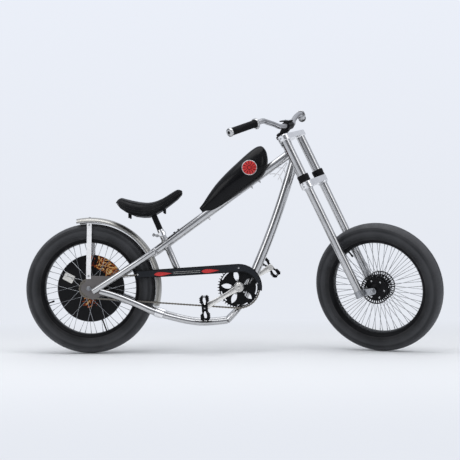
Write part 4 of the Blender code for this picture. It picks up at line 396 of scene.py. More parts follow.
# Layout of the frame tubes, worked out as the solids were
YOKE_REACH = FENDER_RADIUS + YOKE_RADIUS + YOKE_GAP
YOKE_POINT = at(YOKE_REACH * math.cos(YOKE_ANGLE), 0.0, AXLE_Z + YOKE_REACH * math.sin(YOKE_ANGLE))
TOP_TUBE_HEAD = on_steering_axis(TOP_TUBE_HEAD_HEIGHT)
TOP_TUBE_TAIL = YOKE_POINT
TOP_TUBE_ALONG = (TOP_TUBE_HEAD - TOP_TUBE_TAIL).normalized()
TOP_TUBE_RISE = Vector((-TOP_TUBE_ALONG.z, 0.0, TOP_TUBE_ALONG.x))
SEAT_TUBE_DOWN = Vector((math.cos(SEAT_TUBE_ANGLE), 0.0, -math.sin(SEAT_TUBE_ANGLE)))
SEAT_TUBE_TOP = at(SEAT_TUBE_TOP_X, 0.0, SEAT_TUBE_TOP_Z)
SEAT_TUBE_FOOT = SEAT_TUBE_TOP + SEAT_TUBE_DOWN * SEAT_TUBE_LENGTH
SIDES = {"right": -1, "left": 1}


# Shapes

def ring_turns(count, offset=0.0):
    """Turns spread evenly round a circle, all moved on by a share of one step."""
    return [math.tau * (step + offset) / count for step in range(count)]


def eased(value, power):
    """A value from -1 to 1 raised to a power, with its sign kept."""
    return math.copysign(abs(value) ** power, value)


def wheel_point(radius, turn, height):
    """Point at a radius, a turn and a height round local Z."""
    return Vector((radius * math.cos(turn), radius * math.sin(turn), height))


def lathe(profile, sides, closed=False):
    """Turn a profile of (radius, height) points round local Z."""
    shape = bmesh.new()
    rings = []
    for radius, height in profile:
        if radius == 0.0:
            rings.append([shape.verts.new((0.0, 0.0, height))] * sides)
            continue
        rings.append([shape.verts.new(wheel_point(radius, turn, height)) for turn in ring_turns(sides)])
    pairs = list(zip(rings, rings[1:]))
    if closed:
        pairs.append((rings[-1], rings[0]))
    for ring, following in pairs:
        for step in range(sides):
            ahead = (step + 1) % sides
            kept = list(dict.fromkeys((ring[step], ring[ahead], following[ahead], following[step])))
            if len(kept) > 2:
                shape.faces.new(kept)
    return shape


def pin(radius, length, edge=0.0, sides=24, start=0.0):
    """Round bar along local Z with softened ends."""
    end = start + length
    return lathe([(0.0, start), (radius - edge, start), (radius, start + edge), (radius, end - edge),
                  (radius - edge, end), (0.0, end)], sides)


def washer(inner, outer, length, edge=0.0003, sides=32, start=0.0):
    """Thick ring along local Z with softened outer edges."""
    end = start + length
    return lathe([(inner, start), (outer - edge, start), (outer, start + edge), (outer, end - edge),
                  (outer - edge, end), (inner, end)], sides, closed=True)


def hex_nut(radius, height, start=0.0):
    """Six-sided nut with turned corners."""
    chamfer = height * 0.14
    return lathe([(0.0, start), (radius * 0.88, start), (radius, start + chamfer),
                  (radius, start + height - chamfer), (radius * 0.88, start + height), (0.0, start + height)], 6)


def button_screw(radius, height, start=0.0):
    """Low domed screw head with a socket sunk in it."""
    top = start + height
    return lathe([(0.0, start), (radius, start), (radius, start + height * 0.35), (radius * 0.85, start + height * 0.8),
                  (radius * 0.60, top), (radius * 0.40, top), (radius * 0.36, top - height * 0.5),
                  (0.0, top - height * 0.5)], 18)


def rounded_ring(ring_radius, cord_radius, sides=64, facets=12):
    """Ring of round cord about local Z."""
    return lathe([(ring_radius + cord_radius * math.cos(turn), cord_radius * math.sin(turn))
                  for turn in ring_turns(facets)], sides, closed=True)


def prism(outline, low, high):
    """Straight block over an outline, between two heights."""
    shape = bmesh.new()
    bottom = [shape.verts.new((x, y, low)) for x, y in outline]
    top = [shape.verts.new((x, y, high)) for x, y in outline]
    shape.faces.new(bottom[::-1])
    shape.faces.new(top)
    for index in range(len(outline)):
        ahead = (index + 1) % len(outline)
        shape.faces.new((bottom[index], bottom[ahead], top[ahead], top[index]))
    return shape


def loft(sections, capped=True, endless=False):
    """Skin a row of point rings that all have the same count; an endless row meets its own start."""
    shape = bmesh.new()
    rings = [[shape.verts.new(point) for point in section] for section in sections]
    count = len(rings[0])
    pairs = list(zip(rings, rings[1:]))
    if endless:
        pairs.append((rings[-1], rings[0]))
    for ring, following in pairs:
        for step in range(count):
            ahead = (step + 1) % count
            shape.faces.new((ring[step], ring[ahead], following[ahead], following[step]))
    if capped and not endless:
        shape.faces.new(rings[0][::-1])
        shape.faces.new(rings[-1])
    return shape


def tube(path, radius, sides=20, ring=False):
    """Round bar along a path; radius is a number or one for each point."""
    count = len(path)
    radii = radius if isinstance(radius, (list, tuple)) else [radius] * count
    side = Vector((0.0, 1.0, 0.0))
    sections = []
    for index, point in enumerate(path):
        before = path[index - 1] if ring or index else path[0]
        after = path[(index + 1) % count] if ring or index < count - 1 else path[-1]
        along = (after - before).normalized()
        if abs(side.dot(along)) > 0.98:
            side = Vector((along.y, along.z, along.x))
        side = (side - along * side.dot(along)).normalized()
        across = along.cross(side)
        sections.append([point + radii[index] * (math.cos(turn) * side + math.sin(turn) * across)
                         for turn in ring_turns(sides, 0.5)])
    return loft(sections, endless=ring)


def curve_weights(t):
    """Weights of a soft curve's start, leaving slope, end and arriving slope."""
    return 2 * t ** 3 - 3 * t ** 2 + 1, t ** 3 - 2 * t ** 2 + t, 3 * t ** 2 - 2 * t ** 3, t ** 3 - t ** 2


def smooth_line(knots, steps=8):
    """Soft curve through knots that are vectors or tuples of numbers."""
    knots = [Vector(knot) for knot in knots]
    last = len(knots) - 1
    path = []
    for index in range(last):
        start, end = knots[index], knots[index + 1]
        leave = (end - knots[max(index - 1, 0)]) * 0.5
        arrive = (knots[min(index + 2, last)] - start) * 0.5
        for step in range(steps):
            first, second, third, fourth = curve_weights(step / steps)
            path.append(first * start + second * leave + third * end + fourth * arrive)
    path.append(knots[last])
    return path


def add(shape, other, place=None):
    """Move a shape and join it to another one."""
    if place is not None:
        other.transform(place)
    spare = bpy.data.meshes.new("spare")
    other.to_mesh(spare)
    other.free()
    shape.from_mesh(spare)
    bpy.data.meshes.remove(spare)
    return shape


def along_line(start, end):
    """Matrix that lays local Z from one point towards another."""
    place = (end - start).to_track_quat("Z", "Y").to_matrix().to_4x4()
    place.translation = start
    return place


def shift(x=0.0, y=0.0, z=0.0):
    """Matrix that moves by a distance along each axis."""
    return Matrix.Translation((x, y, z))


def spin(angle, axis="Z"):
    """Matrix that turns about one axis."""
    return Matrix.Rotation(angle, 4, axis)


def facing(sign):
    """Matrix that leaves local Z as it is for 1 and turns it round for -1."""
    return spin(0.0 if sign > 0 else math.pi, "X")


def make(name, shape, finish, body, place=None, replaced=(), sharp=35.0):
    """Turn a shape into a piece that rides on a body of the frame."""
    if place is not None:
        shape.transform(place)
    bmesh.ops.recalc_face_normals(shape, faces=shape.faces[:])
    mesh = bpy.data.meshes.new(name)
    shape.to_mesh(mesh)
    shape.free()
    mesh.materials.append(finish)
    mesh.shade_smooth()
    mesh.set_sharp_from_angle(angle=math.radians(sharp))
    piece = bpy.data.objects.new(name, mesh)
    bpy.context.scene.collection.objects.link(piece)
    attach(piece, body)
    if replaced:
        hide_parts(*replaced)
    return piece


def soften(piece, width, segments=2):
    """Round off a piece's sharp edges."""
    edge = piece.modifiers.new("soft_edges", "BEVEL")
    edge.width = width
    edge.segments = segments
    edge.limit_method = "ANGLE"
    edge.angle_limit = math.radians(40.0)
    edge.harden_normals = True


def dress(node, finish, bevel=0.0):
    """Give one of the frame's own solids its finish."""
    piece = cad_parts[node]
    piece.data.materials.clear()
    piece.data.materials.append(finish)
    if bevel:
        soften(piece, bevel)


# Effects shared by the finishes

METAL_HAZE_SCALE = 40.0
METAL_PATCH_SCALE = 18.0
COATED_HAZE_SCALE = 30.0


def new_group(name, inputs, outputs):
    """Group with its sockets, and the nodes that carry them in and out."""
    group = bpy.data.node_groups.new(name, "ShaderNodeTree")
    for label, kind, value in inputs:
        socket = group.interface.new_socket(name=label, in_out="INPUT", socket_type=kind)
        socket.default_value = value
    for label, kind in outputs:
        group.interface.new_socket(name=label, in_out="OUTPUT", socket_type=kind)
    source = group.nodes.new("NodeGroupInput")
    target = group.nodes.new("NodeGroupOutput")
    return group, source, target


def new_node(tree, kind, **settings):
    """Node of a kind, with its settings."""
    node = tree.nodes.new(kind)
    for key, value in settings.items():
        setattr(node, key, value)
    return node


def feed(tree, socket, value):
    """Give a socket another node's output, or a plain value."""
    if isinstance(value, bpy.types.NodeSocket):
        tree.links.new(value, socket)
    else:
        socket.default_value = value


def math_node(tree, operation, first, second=None):
    """Result of a sum on sockets or plain numbers."""
    node = new_node(tree, "ShaderNodeMath", operation=operation)
    feed(tree, node.inputs[0], first)
    if second is not None:
        feed(tree, node.inputs[1], second)
    return node.outputs[0]


def vector_node(tree, operation, first, second=None):
    """Result of a sum on a vector and a socket or plain vector."""
    node = new_node(tree, "ShaderNodeVectorMath", operation=operation)
    feed(tree, node.inputs[0], first)
    if second is not None:
        feed(tree, node.inputs[1], second)
    return node.outputs["Value" if operation == "LENGTH" else "Vector"]


def range_node(tree, value, low, high, low_out=0.0, high_out=1.0, smooth=False):
    """A value stretched from one range to another, and held at its ends."""
    node = tree.nodes.new("ShaderNodeMapRange")
    if smooth:
        node.interpolation_type = "SMOOTHSTEP"
    labels = ("Value", "From Min", "From Max", "To Min", "To Max")
    for label, given in zip(labels, (value, low, high, low_out, high_out)):
        feed(tree, node.inputs[label], given)
    return node.outputs["Result"]


def ramp_node(tree, value, stops):
    """Tone picked by a value from stops of (place, tone)."""
    ramp = tree.nodes.new("ShaderNodeValToRGB")
    for index, (spot, tone) in enumerate(stops):
        stop = ramp.color_ramp.elements[index] if index < 2 else ramp.color_ramp.elements.new(spot)
        stop.position = spot
        stop.color = (*tone, 1.0)
    tree.links.new(value, ramp.inputs["Fac"])
    return ramp.outputs["Color"]


def cloud_node(tree, spot, scale, detail, distortion=0.0):
    """Cloudy value from 0 to 1 at a point."""
    cloud = tree.nodes.new("ShaderNodeTexNoise")
    labels = ("Vector", "Scale", "Detail", "Distortion")
    for label, given in zip(labels, (spot, scale, detail, distortion)):
        feed(tree, cloud.inputs[label], given)
    return cloud.outputs["Fac"]


def object_point(tree):
    """Place of a surface point on its piece."""
    return tree.nodes.new("ShaderNodeTexCoord").outputs["Object"]


def build_haze():
    """Cloudy variation between a low and a high value."""
    group, source, target = new_group("polish_haze", [
        ("Scale", "NodeSocketFloat", 20.0), ("Low", "NodeSocketFloat", 0.1), ("High", "NodeSocketFloat", 0.2)],
        [("Value", "NodeSocketFloat")])
    cloud = cloud_node(group, object_point(group), source.outputs["Scale"], 4.0)
    spread = range_node(group, cloud, 0.35, 0.65, source.outputs["Low"], source.outputs["High"])
    group.links.new(spread, target.inputs["Value"])
    return group


def build_grain():
    """Fine bumps of a cast, moulded or rubbed surface."""
    group, source, target = new_group("fine_grain", [
        ("Scale", "NodeSocketFloat", 300.0), ("Stretch", "NodeSocketVector", (1.0, 1.0, 1.0))],
        [("Height", "NodeSocketFloat")])
    stretched = vector_node(group, "MULTIPLY", object_point(group), source.outputs["Stretch"])
    group.links.new(cloud_node(group, stretched, source.outputs["Scale"], 6.0), target.inputs["Height"])
    return group


def build_tint():
    """Two tones mixed in soft patches."""
    group, source, target = new_group("patchy_tone", [
        ("Tone", "NodeSocketColor", (0.5, 0.5, 0.5, 1.0)), ("Patch", "NodeSocketColor", (0.6, 0.6, 0.6, 1.0)),
        ("Scale", "NodeSocketFloat", 15.0), ("Amount", "NodeSocketFloat", 0.5)],
        [("Color", "NodeSocketColor")])
    cloud = cloud_node(group, object_point(group), source.outputs["Scale"], 5.0)
    spread = range_node(group, cloud, 0.42, 0.70, 0.0, source.outputs["Amount"])
    blend = new_node(group, "ShaderNodeMix", data_type="RGBA")
    group.links.new(spread, blend.inputs["Factor"])
    group.links.new(source.outputs["Tone"], blend.inputs["A"])
    group.links.new(source.outputs["Patch"], blend.inputs["B"])
    group.links.new(blend.outputs["Result"], target.inputs["Color"])
    return group


def build_leather_grain():
    """Pebbled hide with finer wrinkles between the pebbles."""
    group, source, target = new_group("hide_grain", [("Scale", "NodeSocketFloat", 400.0)],
                                      [("Height", "NodeSocketFloat")])
    spot = object_point(group)
    cells = new_node(group, "ShaderNodeTexVoronoi", feature="DISTANCE_TO_EDGE")
    group.links.new(spot, cells.inputs["Vector"])
    group.links.new(source.outputs["Scale"], cells.inputs["Scale"])
    wrinkle = cloud_node(group, spot, math_node(group, "MULTIPLY", source.outputs["Scale"], 0.12), 5.0)
    soft = math_node(group, "SMOOTH_MIN", cells.outputs["Distance"], 0.25)
    total = math_node(group, "ADD", soft, math_node(group, "MULTIPLY", wrinkle, 0.6))
    group.links.new(total, target.inputs["Height"])
    return group


HAZE = build_haze()
GRAIN = build_grain()
TINT = build_tint()
HIDE = build_leather_grain()


def place_group(tree, group, **values):
    """One use of a shared effect in a material, with its own values."""
    node = tree.nodes.new("ShaderNodeGroup")
    node.node_tree = group
    for label, value in values.items():
        node.inputs[label].default_value = value
    return node


def new_finish(name, metallic=0.0, coat=0.0, specular=0.12):
    """Material with its plain values."""
    finish = bpy.data.materials.new(name)
    finish.use_nodes = True
    shader = finish.node_tree.nodes["Principled BSDF"]
    shader.inputs["Metallic"].default_value = metallic
    shader.inputs["Coat Weight"].default_value = coat
    shader.inputs["Coat Roughness"].default_value = 0.04
    shader.inputs["Specular IOR Level"].default_value = specular
    return finish, finish.node_tree, shader


def tinted(tree, shader, tone, patch, scale, amount):
    """Base colour in two tones."""
    mix = place_group(tree, TINT, Tone=(*tone, 1.0), Patch=(*patch, 1.0), Scale=scale, Amount=amount)
    tree.links.new(mix.outputs["Color"], shader.inputs["Base Color"])


def hazed(tree, shader, scale, low, high):
    """Roughness that wanders between two values."""
    haze = place_group(tree, HAZE, Scale=scale, Low=low, High=high)
    tree.links.new(haze.outputs["Value"], shader.inputs["Roughness"])


def bumped(tree, shader, height, strength, distance):
    """Fine relief from a height."""
    bump = tree.nodes.new("ShaderNodeBump")
    bump.inputs["Strength"].default_value = strength
    bump.inputs["Distance"].default_value = distance
    tree.links.new(height, bump.inputs["Height"])
    tree.links.new(bump.outputs["Normal"], shader.inputs["Normal"])


def scaled_tone(tone, factor):
    """The same tone, lighter or darker."""
    return tuple(part * factor for part in tone)


def metal_finish(name, tone, low, high, grain=600.0, stretch=(1.0, 1.0, 1.0), depth=0.00002, patch=0.8):
    """Bare or plated metal: roughness from low to high, then its grain."""
    finish, tree, shader = new_finish(name, metallic=1.0)
    tinted(tree, shader, tone, scaled_tone(tone, patch), METAL_PATCH_SCALE, 0.6)
    hazed(tree, shader, METAL_HAZE_SCALE, low, high)
    texture = place_group(tree, GRAIN, Scale=grain, Stretch=stretch)
    bumped(tree, shader, texture.outputs["Height"], 0.25, depth)
    return finish


def coated_finish(name, tone, patch, low, high, coat, grain=900.0, depth=0.00004, amount=0.5, scale=25.0):
    """Paint, print, rubber or thread: two tones, roughness from low to high, coat, then its grain."""
    finish, tree, shader = new_finish(name, coat=coat)
    tinted(tree, shader, tone, patch, scale, amount)
    hazed(tree, shader, COATED_HAZE_SCALE, low, high)
    texture = place_group(tree, GRAIN, Scale=grain)
    bumped(tree, shader, texture.outputs["Height"], 0.3, depth)
    return finish


def leather_finish():
    """Pebbled black hide."""
    finish, tree, shader = new_finish("black_saddle_leather", specular=0.18)
    tinted(tree, shader, BLACK_TONE, scaled_tone(BLACK_TONE, 2.0), 22.0, 0.5)
    hazed(tree, shader, 35.0, 0.34, 0.52)
    hide = place_group(tree, HIDE, Scale=420.0)
    bumped(tree, shader, hide.outputs["Height"], 0.3, 0.00006)
    return finish


def axle_reach(tree, wheel):
    """Distance of a surface point from the line of a wheel's axle."""
    spot = vector_node(tree, "SUBTRACT", object_point(tree), wheel.translation)
    return vector_node(tree, "LENGTH", vector_node(tree, "CROSS_PRODUCT", spot, wheel.to_3x3().col[2]))


def tyre_finish(name, wheel):
    """Painted shade darkening the wall inward into the bead, painted highlight rings on the wall, and road dust on the
    tread.
    """
    finish, tree, shader = new_finish(name, specular=0.3)
    share = range_node(tree, axle_reach(tree, wheel), TYRE_BEAD_RADIUS, TYRE_RADIUS)
    middle = tuple((wall_part + dust_part) / 2 for wall_part, dust_part in zip(TYRE_WALL_TONE, TYRE_DUST_TONE))
    # Painted shade: the wall darkens into the bead band up to 0.24; the lighter rings at 0.50 and 0.80 are painted
    # highlights along the wall's moulded lines
    wall = ramp_node(tree, share, (
        (0.0, TYRE_BEAD_SHADE_TONE), (0.16, TYRE_BEAD_SHADE_TONE), (0.24, TYRE_WALL_TONE), (0.50, middle),
        (0.62, TYRE_WALL_TONE), (0.80, middle), (0.96, TYRE_DUST_TONE)))
    dust = place_group(tree, TINT, Patch=(*scaled_tone(TYRE_DUST_TONE, 0.9), 1.0), Scale=9.0, Amount=0.45)
    tree.links.new(wall, dust.inputs["Tone"])
    tree.links.new(dust.outputs["Color"], shader.inputs["Base Color"])
    hazed(tree, shader, 25.0, 0.42, 0.60)
    texture = place_group(tree, GRAIN, Scale=700.0)
    bumped(tree, shader, texture.outputs["Height"], 0.5, 0.0004)
    return finish


def card_window(tree, turn, share, middle, narrow, inner, outer):
    """Mask that is 1 round one turn of the card, between two shares of its radius."""
    toward = math_node(tree, "COSINE", math_node(tree, "SUBTRACT", turn, math.radians(middle)))
    return math_node(tree, "MULTIPLY", range_node(tree, toward, narrow, 1.0, smooth=True),
                     range_node(tree, share, inner, outer, smooth=True))


def flame_card_finish():
    """Black print with gold flames above the hub and a low band of embers."""
    finish, tree, shader = new_finish("flame_card", coat=0.1)
    spot = vector_node(tree, "SUBTRACT", object_point(tree), REAR.translation)
    parts = tree.nodes.new("ShaderNodeSeparateXYZ")
    tree.links.new(spot, parts.inputs[0])
    turn = math_node(tree, "ARCTAN2", parts.outputs["Z"], parts.outputs["X"])
    share = math_node(tree, "DIVIDE", vector_node(tree, "LENGTH", spot), CARD_RADIUS)
    above = card_window(tree, turn, share, 58.0, 0.55, 0.30, 0.70)
    below = card_window(tree, turn, share, -98.0, 0.50, 0.95, 0.45)
    windows = math_node(tree, "ADD", above, math_node(tree, "MULTIPLY", below, 0.92))
    heat = math_node(tree, "MULTIPLY", cloud_node(tree, spot, 30.0, 4.0, 3.5), windows)
    flames = ramp_node(tree, heat, (
        (0.44, BLACK_TONE), (0.47, (0.26, 0.022, 0.006)), (0.50, (0.46, 0.12, 0.02)),
        (0.54, (0.56, 0.30, 0.07)), (0.62, (0.70, 0.55, 0.30))))
    tree.links.new(flames, shader.inputs["Base Color"])
    hazed(tree, shader, 30.0, 0.35, 0.5)
    return finish


chrome = metal_finish("chrome_plate", CHROME_TONE, 0.16, 0.20, 300.0, depth=0.000005)
fork_chrome = metal_finish("fork_chrome", CHROME_TONE, 0.19, 0.24, 300.0, depth=0.000005)
fender_steel = metal_finish("fender_steel", FENDER_TONE, 0.34, 0.42, 500.0, depth=0.00002)
alloy = metal_finish("polished_alloy", ALLOY_TONE, 0.20, 0.32, 500.0)
crown_metal = metal_finish("polished_crown", CROWN_TONE, 0.16, 0.24, 500.0)
arm_metal = metal_finish("forged_arm", ARM_TONE, 0.22, 0.30, 400.0)
bar_metal = metal_finish("bar_metal", BAR_TONE, 0.26, 0.36, 700.0)
plate_steel = metal_finish("brushed_plate", STEEL_TONE, 0.40, 0.52, 500.0, (1.0, 1.0, 0.12), 0.0001)
nut_steel = metal_finish("zinc_nut", SPOKE_TONE, 0.25, 0.38)
spoke_steel = metal_finish("drawn_spoke", SPOKE_TONE, 0.18, 0.28)
chain_steel = metal_finish("oiled_chain", CHAIN_TONE, 0.28, 0.42, 300.0)
tank_black = coated_finish("tank_lacquer", BLACK_TONE, scaled_tone(BLACK_TONE, 1.6), 0.20, 0.28, 0.06)
guard_black = coated_finish("guard_gloss", BLACK_TONE, scaled_tone(BLACK_TONE, 2.0), 0.25, 0.35, 0.1)
slate = coated_finish("guard_face", SLATE_TONE, scaled_tone(SLATE_TONE, 1.4), 0.4, 0.5, 0.0)
satin_black = coated_finish("satin_black", BLACK_TONE, scaled_tone(BLACK_TONE, 2.2), 0.34, 0.46, 0.0)
moulded_black = coated_finish("moulded_black", BLACK_TONE, scaled_tone(BLACK_TONE, 2.4), 0.5, 0.65,
                              0.0, 500.0, 0.0002)
red_enamel = coated_finish("red_enamel", RED_TONE, scaled_tone(RED_TONE, 0.7), 0.2, 0.3, 0.2)
pale_print = coated_finish("pale_print", PALE_TONE, scaled_tone(PALE_TONE, 0.85), 0.5, 0.6, 0.0)
# Painted reflection: a pale flat finish for the chromed struts in place of their bright reflection
strut_pale_reflection = coated_finish("strut_pale_reflection", STRUT_REFLECTION_TONE, scaled_tone(STRUT_REFLECTION_TONE, 0.85), 0.4, 0.5, 0.1)
# Painted reflection: a pale flat finish for the chromed web wires in place of their bright reflection
wire_painted_reflection = coated_finish("wire_painted_reflection", WIRE_REFLECTION_TONE, WIRE_REFLECTION_PATCH_TONE, 0.3, 0.4, 0.3)
leather = leather_finish()
pale_thread = coated_finish("waxed_thread", THREAD_TONE, THREAD_PATCH_TONE, 0.6, 0.7, 0.0)
front_rubber = tyre_finish("front_tyre_rubber", FRONT)
rear_rubber = tyre_finish("rear_tyre_rubber", REAR)
flame_card = flame_card_finish()


# Wheels

def groove_depth(turn, height):
    """How deep the tread is cut at a turn and a height across the tyre."""
    share = abs(height) / TYRE_HALF_WIDTH
    if share < MIDDLE_RIB_SHARE:
        return 0.0
    if share < MIDDLE_GROOVE_SHARE or SIDE_GROOVE_SHARES[0] < share < SIDE_GROOVE_SHARES[1]:
        return GROOVE_DEPTH
    lean = share * 0.9 if height > 0 else share * 0.9 + 0.5
    step = (turn * TREAD_BLOCKS / math.tau + lean) % 1.0
    return GROOVE_DEPTH * 0.8 if step < BLOCK_GAP_SHARE and share < BLOCK_END_SHARE else 0.0


def both_ends(half):
    """Whole profile from the half below the middle."""
    return half + [(radius, -height) for radius, height in reversed(half)]


def build_tyre(name, finish, body, place):
    """Tyre with a blocked tread, moulded shoulder lines and a smooth wall."""
    half = [
        (TYRE_BEAD_RADIUS, -0.0296), (0.2120, -0.0316), (0.2145, -0.0326), (0.2200, -0.0349), (0.2270, -0.0368),
        (0.2276, -0.0374), (0.2296, -0.0377), (0.2302, -0.0373), (0.2380, -0.0379), (0.2450, -0.0378),
        (0.2520, -0.0371), (0.2560, -0.0363), (0.2566, -0.0367), (0.2580, -0.0364), (0.2586, -0.0356),
    ]
    crown = []
    for step in range(TREAD_ROWS):
        share = -TREAD_HALF_SHARE + 2 * TREAD_HALF_SHARE * step / (TREAD_ROWS - 1)
        crown.append((TYRE_RADIUS - TREAD_DROP * abs(share) ** TREAD_DROP_POWER, share * TYRE_HALF_WIDTH))
    profile = half + crown + [(radius, -height) for radius, height in reversed(half)]
    first = len(half)
    shape = lathe(profile, TREAD_COLUMNS, closed=True)
    shape.verts.ensure_lookup_table()
    for row in range(first, first + len(crown)):
        for column in range(TREAD_COLUMNS):
            vert = shape.verts[row * TREAD_COLUMNS + column]
            depth = groove_depth(math.tau * column / TREAD_COLUMNS, vert.co.z)
            reach = math.hypot(vert.co.x, vert.co.y)
            vert.co.x *= (reach - depth) / reach
            vert.co.y *= (reach - depth) / reach
    make(name + "_tread", shape, finish, body, place, [name])


def build_rim(name, body, place, valve_turn):
    """Box rim with hooked edges and its valve."""
    half = [(TYRE_BEAD_RADIUS - 0.004, -0.026), (RIM_EDGE_RADIUS - 0.001, -0.0300), (RIM_EDGE_RADIUS, -0.0310),
            (RIM_EDGE_RADIUS - 0.0012, -0.0322), (0.2075, -0.0318), (0.2050, -0.0296), (0.2015, -0.0262),
            (0.1985, -0.0215), (0.1966, -0.0165), (RIM_BED_RADIUS, -0.0110), (RIM_BED_RADIUS, -0.0030)]
    make(name + "_section", lathe(both_ends(half), 160, closed=True), satin_black, body, place, [name], sharp=28.0)
    at_valve = place @ spin(valve_turn) @ shift(RIM_BED_RADIUS) @ spin(-math.pi / 2, "Y")
    stem = lathe([(0.0, -0.004), (0.0040, -0.004), (0.0040, 0.004), (0.0031, 0.006), (0.0031, 0.016),
                  (0.0042, 0.017), (0.0042, 0.026), (0.0032, 0.028), (0.0, 0.028)], 18)
    make(name + "_valve", stem, moulded_black, body, at_valve)


def spoke_between(spokes, nipples, start, end):
    """One spoke with its head at the hub and its nipple at the rim."""
    along = (end - start).normalized()
    add(spokes, tube([start - along * 0.002, end - along * NIPPLE_LENGTH * 0.6], SPOKE_RADIUS, 8))
    nipple = lathe([(0.0, -NIPPLE_LENGTH), (SPOKE_RADIUS * 1.3, -NIPPLE_LENGTH),
                    (NIPPLE_RADIUS * 0.8, -NIPPLE_LENGTH * 0.85), (NIPPLE_RADIUS * 0.8, -0.003),
                    (NIPPLE_RADIUS * 1.3, -0.0005), (NIPPLE_RADIUS * 1.3, 0.001), (0.0, 0.001)], 10)
    add(nipples, nipple, along_line(end, end + along))


def pierced_plate(radii, columns, kept, low, high):
    """Round plate cut into rings and columns, with the cells left out cut through."""
    shape = bmesh.new()
    levels = []
    for height in (low, high):
        levels.append([[shape.verts.new(wheel_point(radius, turn, height)) for turn in ring_turns(columns)]
                       for radius in radii])
    bottom, top = levels
    rows = len(radii) - 1

    def present(row, column):
        return 0 <= row < rows and kept(row, column % columns)

    for row in range(rows):
        for column in range(columns):
            if not present(row, column):
                continue
            ahead = (column + 1) % columns
            shape.faces.new((bottom[row][column], bottom[row + 1][column], bottom[row + 1][ahead], bottom[row][ahead]))
            shape.faces.new((top[row][column], top[row][ahead], top[row + 1][ahead], top[row + 1][column]))
            walls = (((row - 1, column), (row, column), (row, ahead)),
                     ((row + 1, column), (row + 1, column), (row + 1, ahead)),
                     ((row, column - 1), (row, column), (row + 1, column)),
                     ((row, column + 1), (row, ahead), (row + 1, ahead)))
            for beside, first, second in walls:
                if not present(*beside):
                    shape.faces.new((bottom[first[0]][first[1]], bottom[second[0]][second[1]],
                                     top[second[0]][second[1]], top[first[0]][first[1]]))
    return shape


def front_flange_kept(row, column):
    """Slots near the rim of the flange and round windows further in."""
    if row == 4:
        return column % 4 < 2
    if row == 2:
        return not 8 <= column % 24 <= 15
    return True


def build_front_hub():
    """Wide-flange hub with pierced flanges, small screws and straight spokes."""
    body = "front_wheel"
    half = [(0.0065, -FRONT_HUB_HALF_LENGTH), (0.0125, -FRONT_HUB_HALF_LENGTH), (0.013, -0.0565), (0.013, -0.048),
            (0.0160, -0.0465), (0.0245, -0.0400), (0.0245, -0.0340), (0.0190, -0.0290), (0.0165, -0.0180)]
    shell = lathe(both_ends(half), 48, closed=True)
    radii = (0.0200, 0.0300, 0.0340, 0.0430, 0.0500, 0.0600, FRONT_FLANGE_RADIUS)
    flange_face = FRONT_FLANGE_Y + FRONT_FLANGE_THICKNESS / 2
    for sign in (-1, 1):
        low = sign * FRONT_FLANGE_Y - FRONT_FLANGE_THICKNESS / 2
        add(shell, pierced_plate(radii, 144, front_flange_kept, low, low + FRONT_FLANGE_THICKNESS))
        add(shell, rounded_ring(0.0465, 0.0016, 96, 8), shift(z=sign * flange_face))
    make("front_hub_shell", shell, satin_black, body, FRONT, ["front_hub_and_spokes"])
    spokes = bmesh.new()
    nipples = bmesh.new()
    bolts = bmesh.new()
    for sign in (-1, 1):
        for turn in ring_turns(FRONT_SPOKES_A_SIDE, 0.0 if sign > 0 else 0.5):
            start = wheel_point(FRONT_FLANGE_RADIUS - 0.002, turn, sign * FRONT_FLANGE_Y)
            spoke_between(spokes, nipples, start, wheel_point(RIM_BED_RADIUS, turn, sign * SPOKE_END_Y))
        for turn in ring_turns(FRONT_HUB_SCREWS, 0.5):
            spot = wheel_point(FRONT_SCREW_REACH, turn, sign * flange_face)
            add(bolts, button_screw(*HUB_SCREW), Matrix.Translation(spot) @ facing(sign))
    make("front_spokes", spokes, spoke_steel, body, FRONT)
    make("front_nipples", nipples, nut_steel, body, FRONT)
    make("front_hub_bolts", bolts, chrome, body, FRONT)


def build_rear_hub():
    """Brake hub with its crossed spokes, heads in and heads out by turns."""
    body = "rear_wheel"
    half = [(0.0065, -REAR_HUB_HALF_LENGTH), (0.0160, -REAR_HUB_HALF_LENGTH), (0.0170, -0.0540), (0.0170, -0.0462),
            (0.0230, -0.0450), (0.0240, -0.0385), (0.0335, -0.0368), (REAR_FLANGE_RADIUS, -0.0360),
            (REAR_FLANGE_RADIUS, -0.0320), (0.0335, -0.0312), (0.0250, -0.0295), (0.0238, -0.0200)]
    make("rear_hub_shell", lathe(both_ends(half), 64, closed=True), alloy, body, REAR, ["rear_hub_and_spokes"])
    spokes = bmesh.new()
    nipples = bmesh.new()
    for sign in (-1, 1):
        for index, turn in enumerate(ring_turns(REAR_SPOKES_A_SIDE, 0.5 if sign > 0 else 0.0)):
            way = 1 if index % 2 else -1
            start = wheel_point(REAR_FLANGE_RADIUS - 0.003, turn, sign * (REAR_FLANGE_Y + 0.0026 * way))
            end = wheel_point(RIM_BED_RADIUS, turn + REAR_SPOKE_LEAD * way, sign * SPOKE_END_Y)
            spoke_between(spokes, nipples, start, end)
    make("rear_spokes", spokes, spoke_steel, body, REAR)
    make("rear_nipples", nipples, nut_steel, body, REAR)


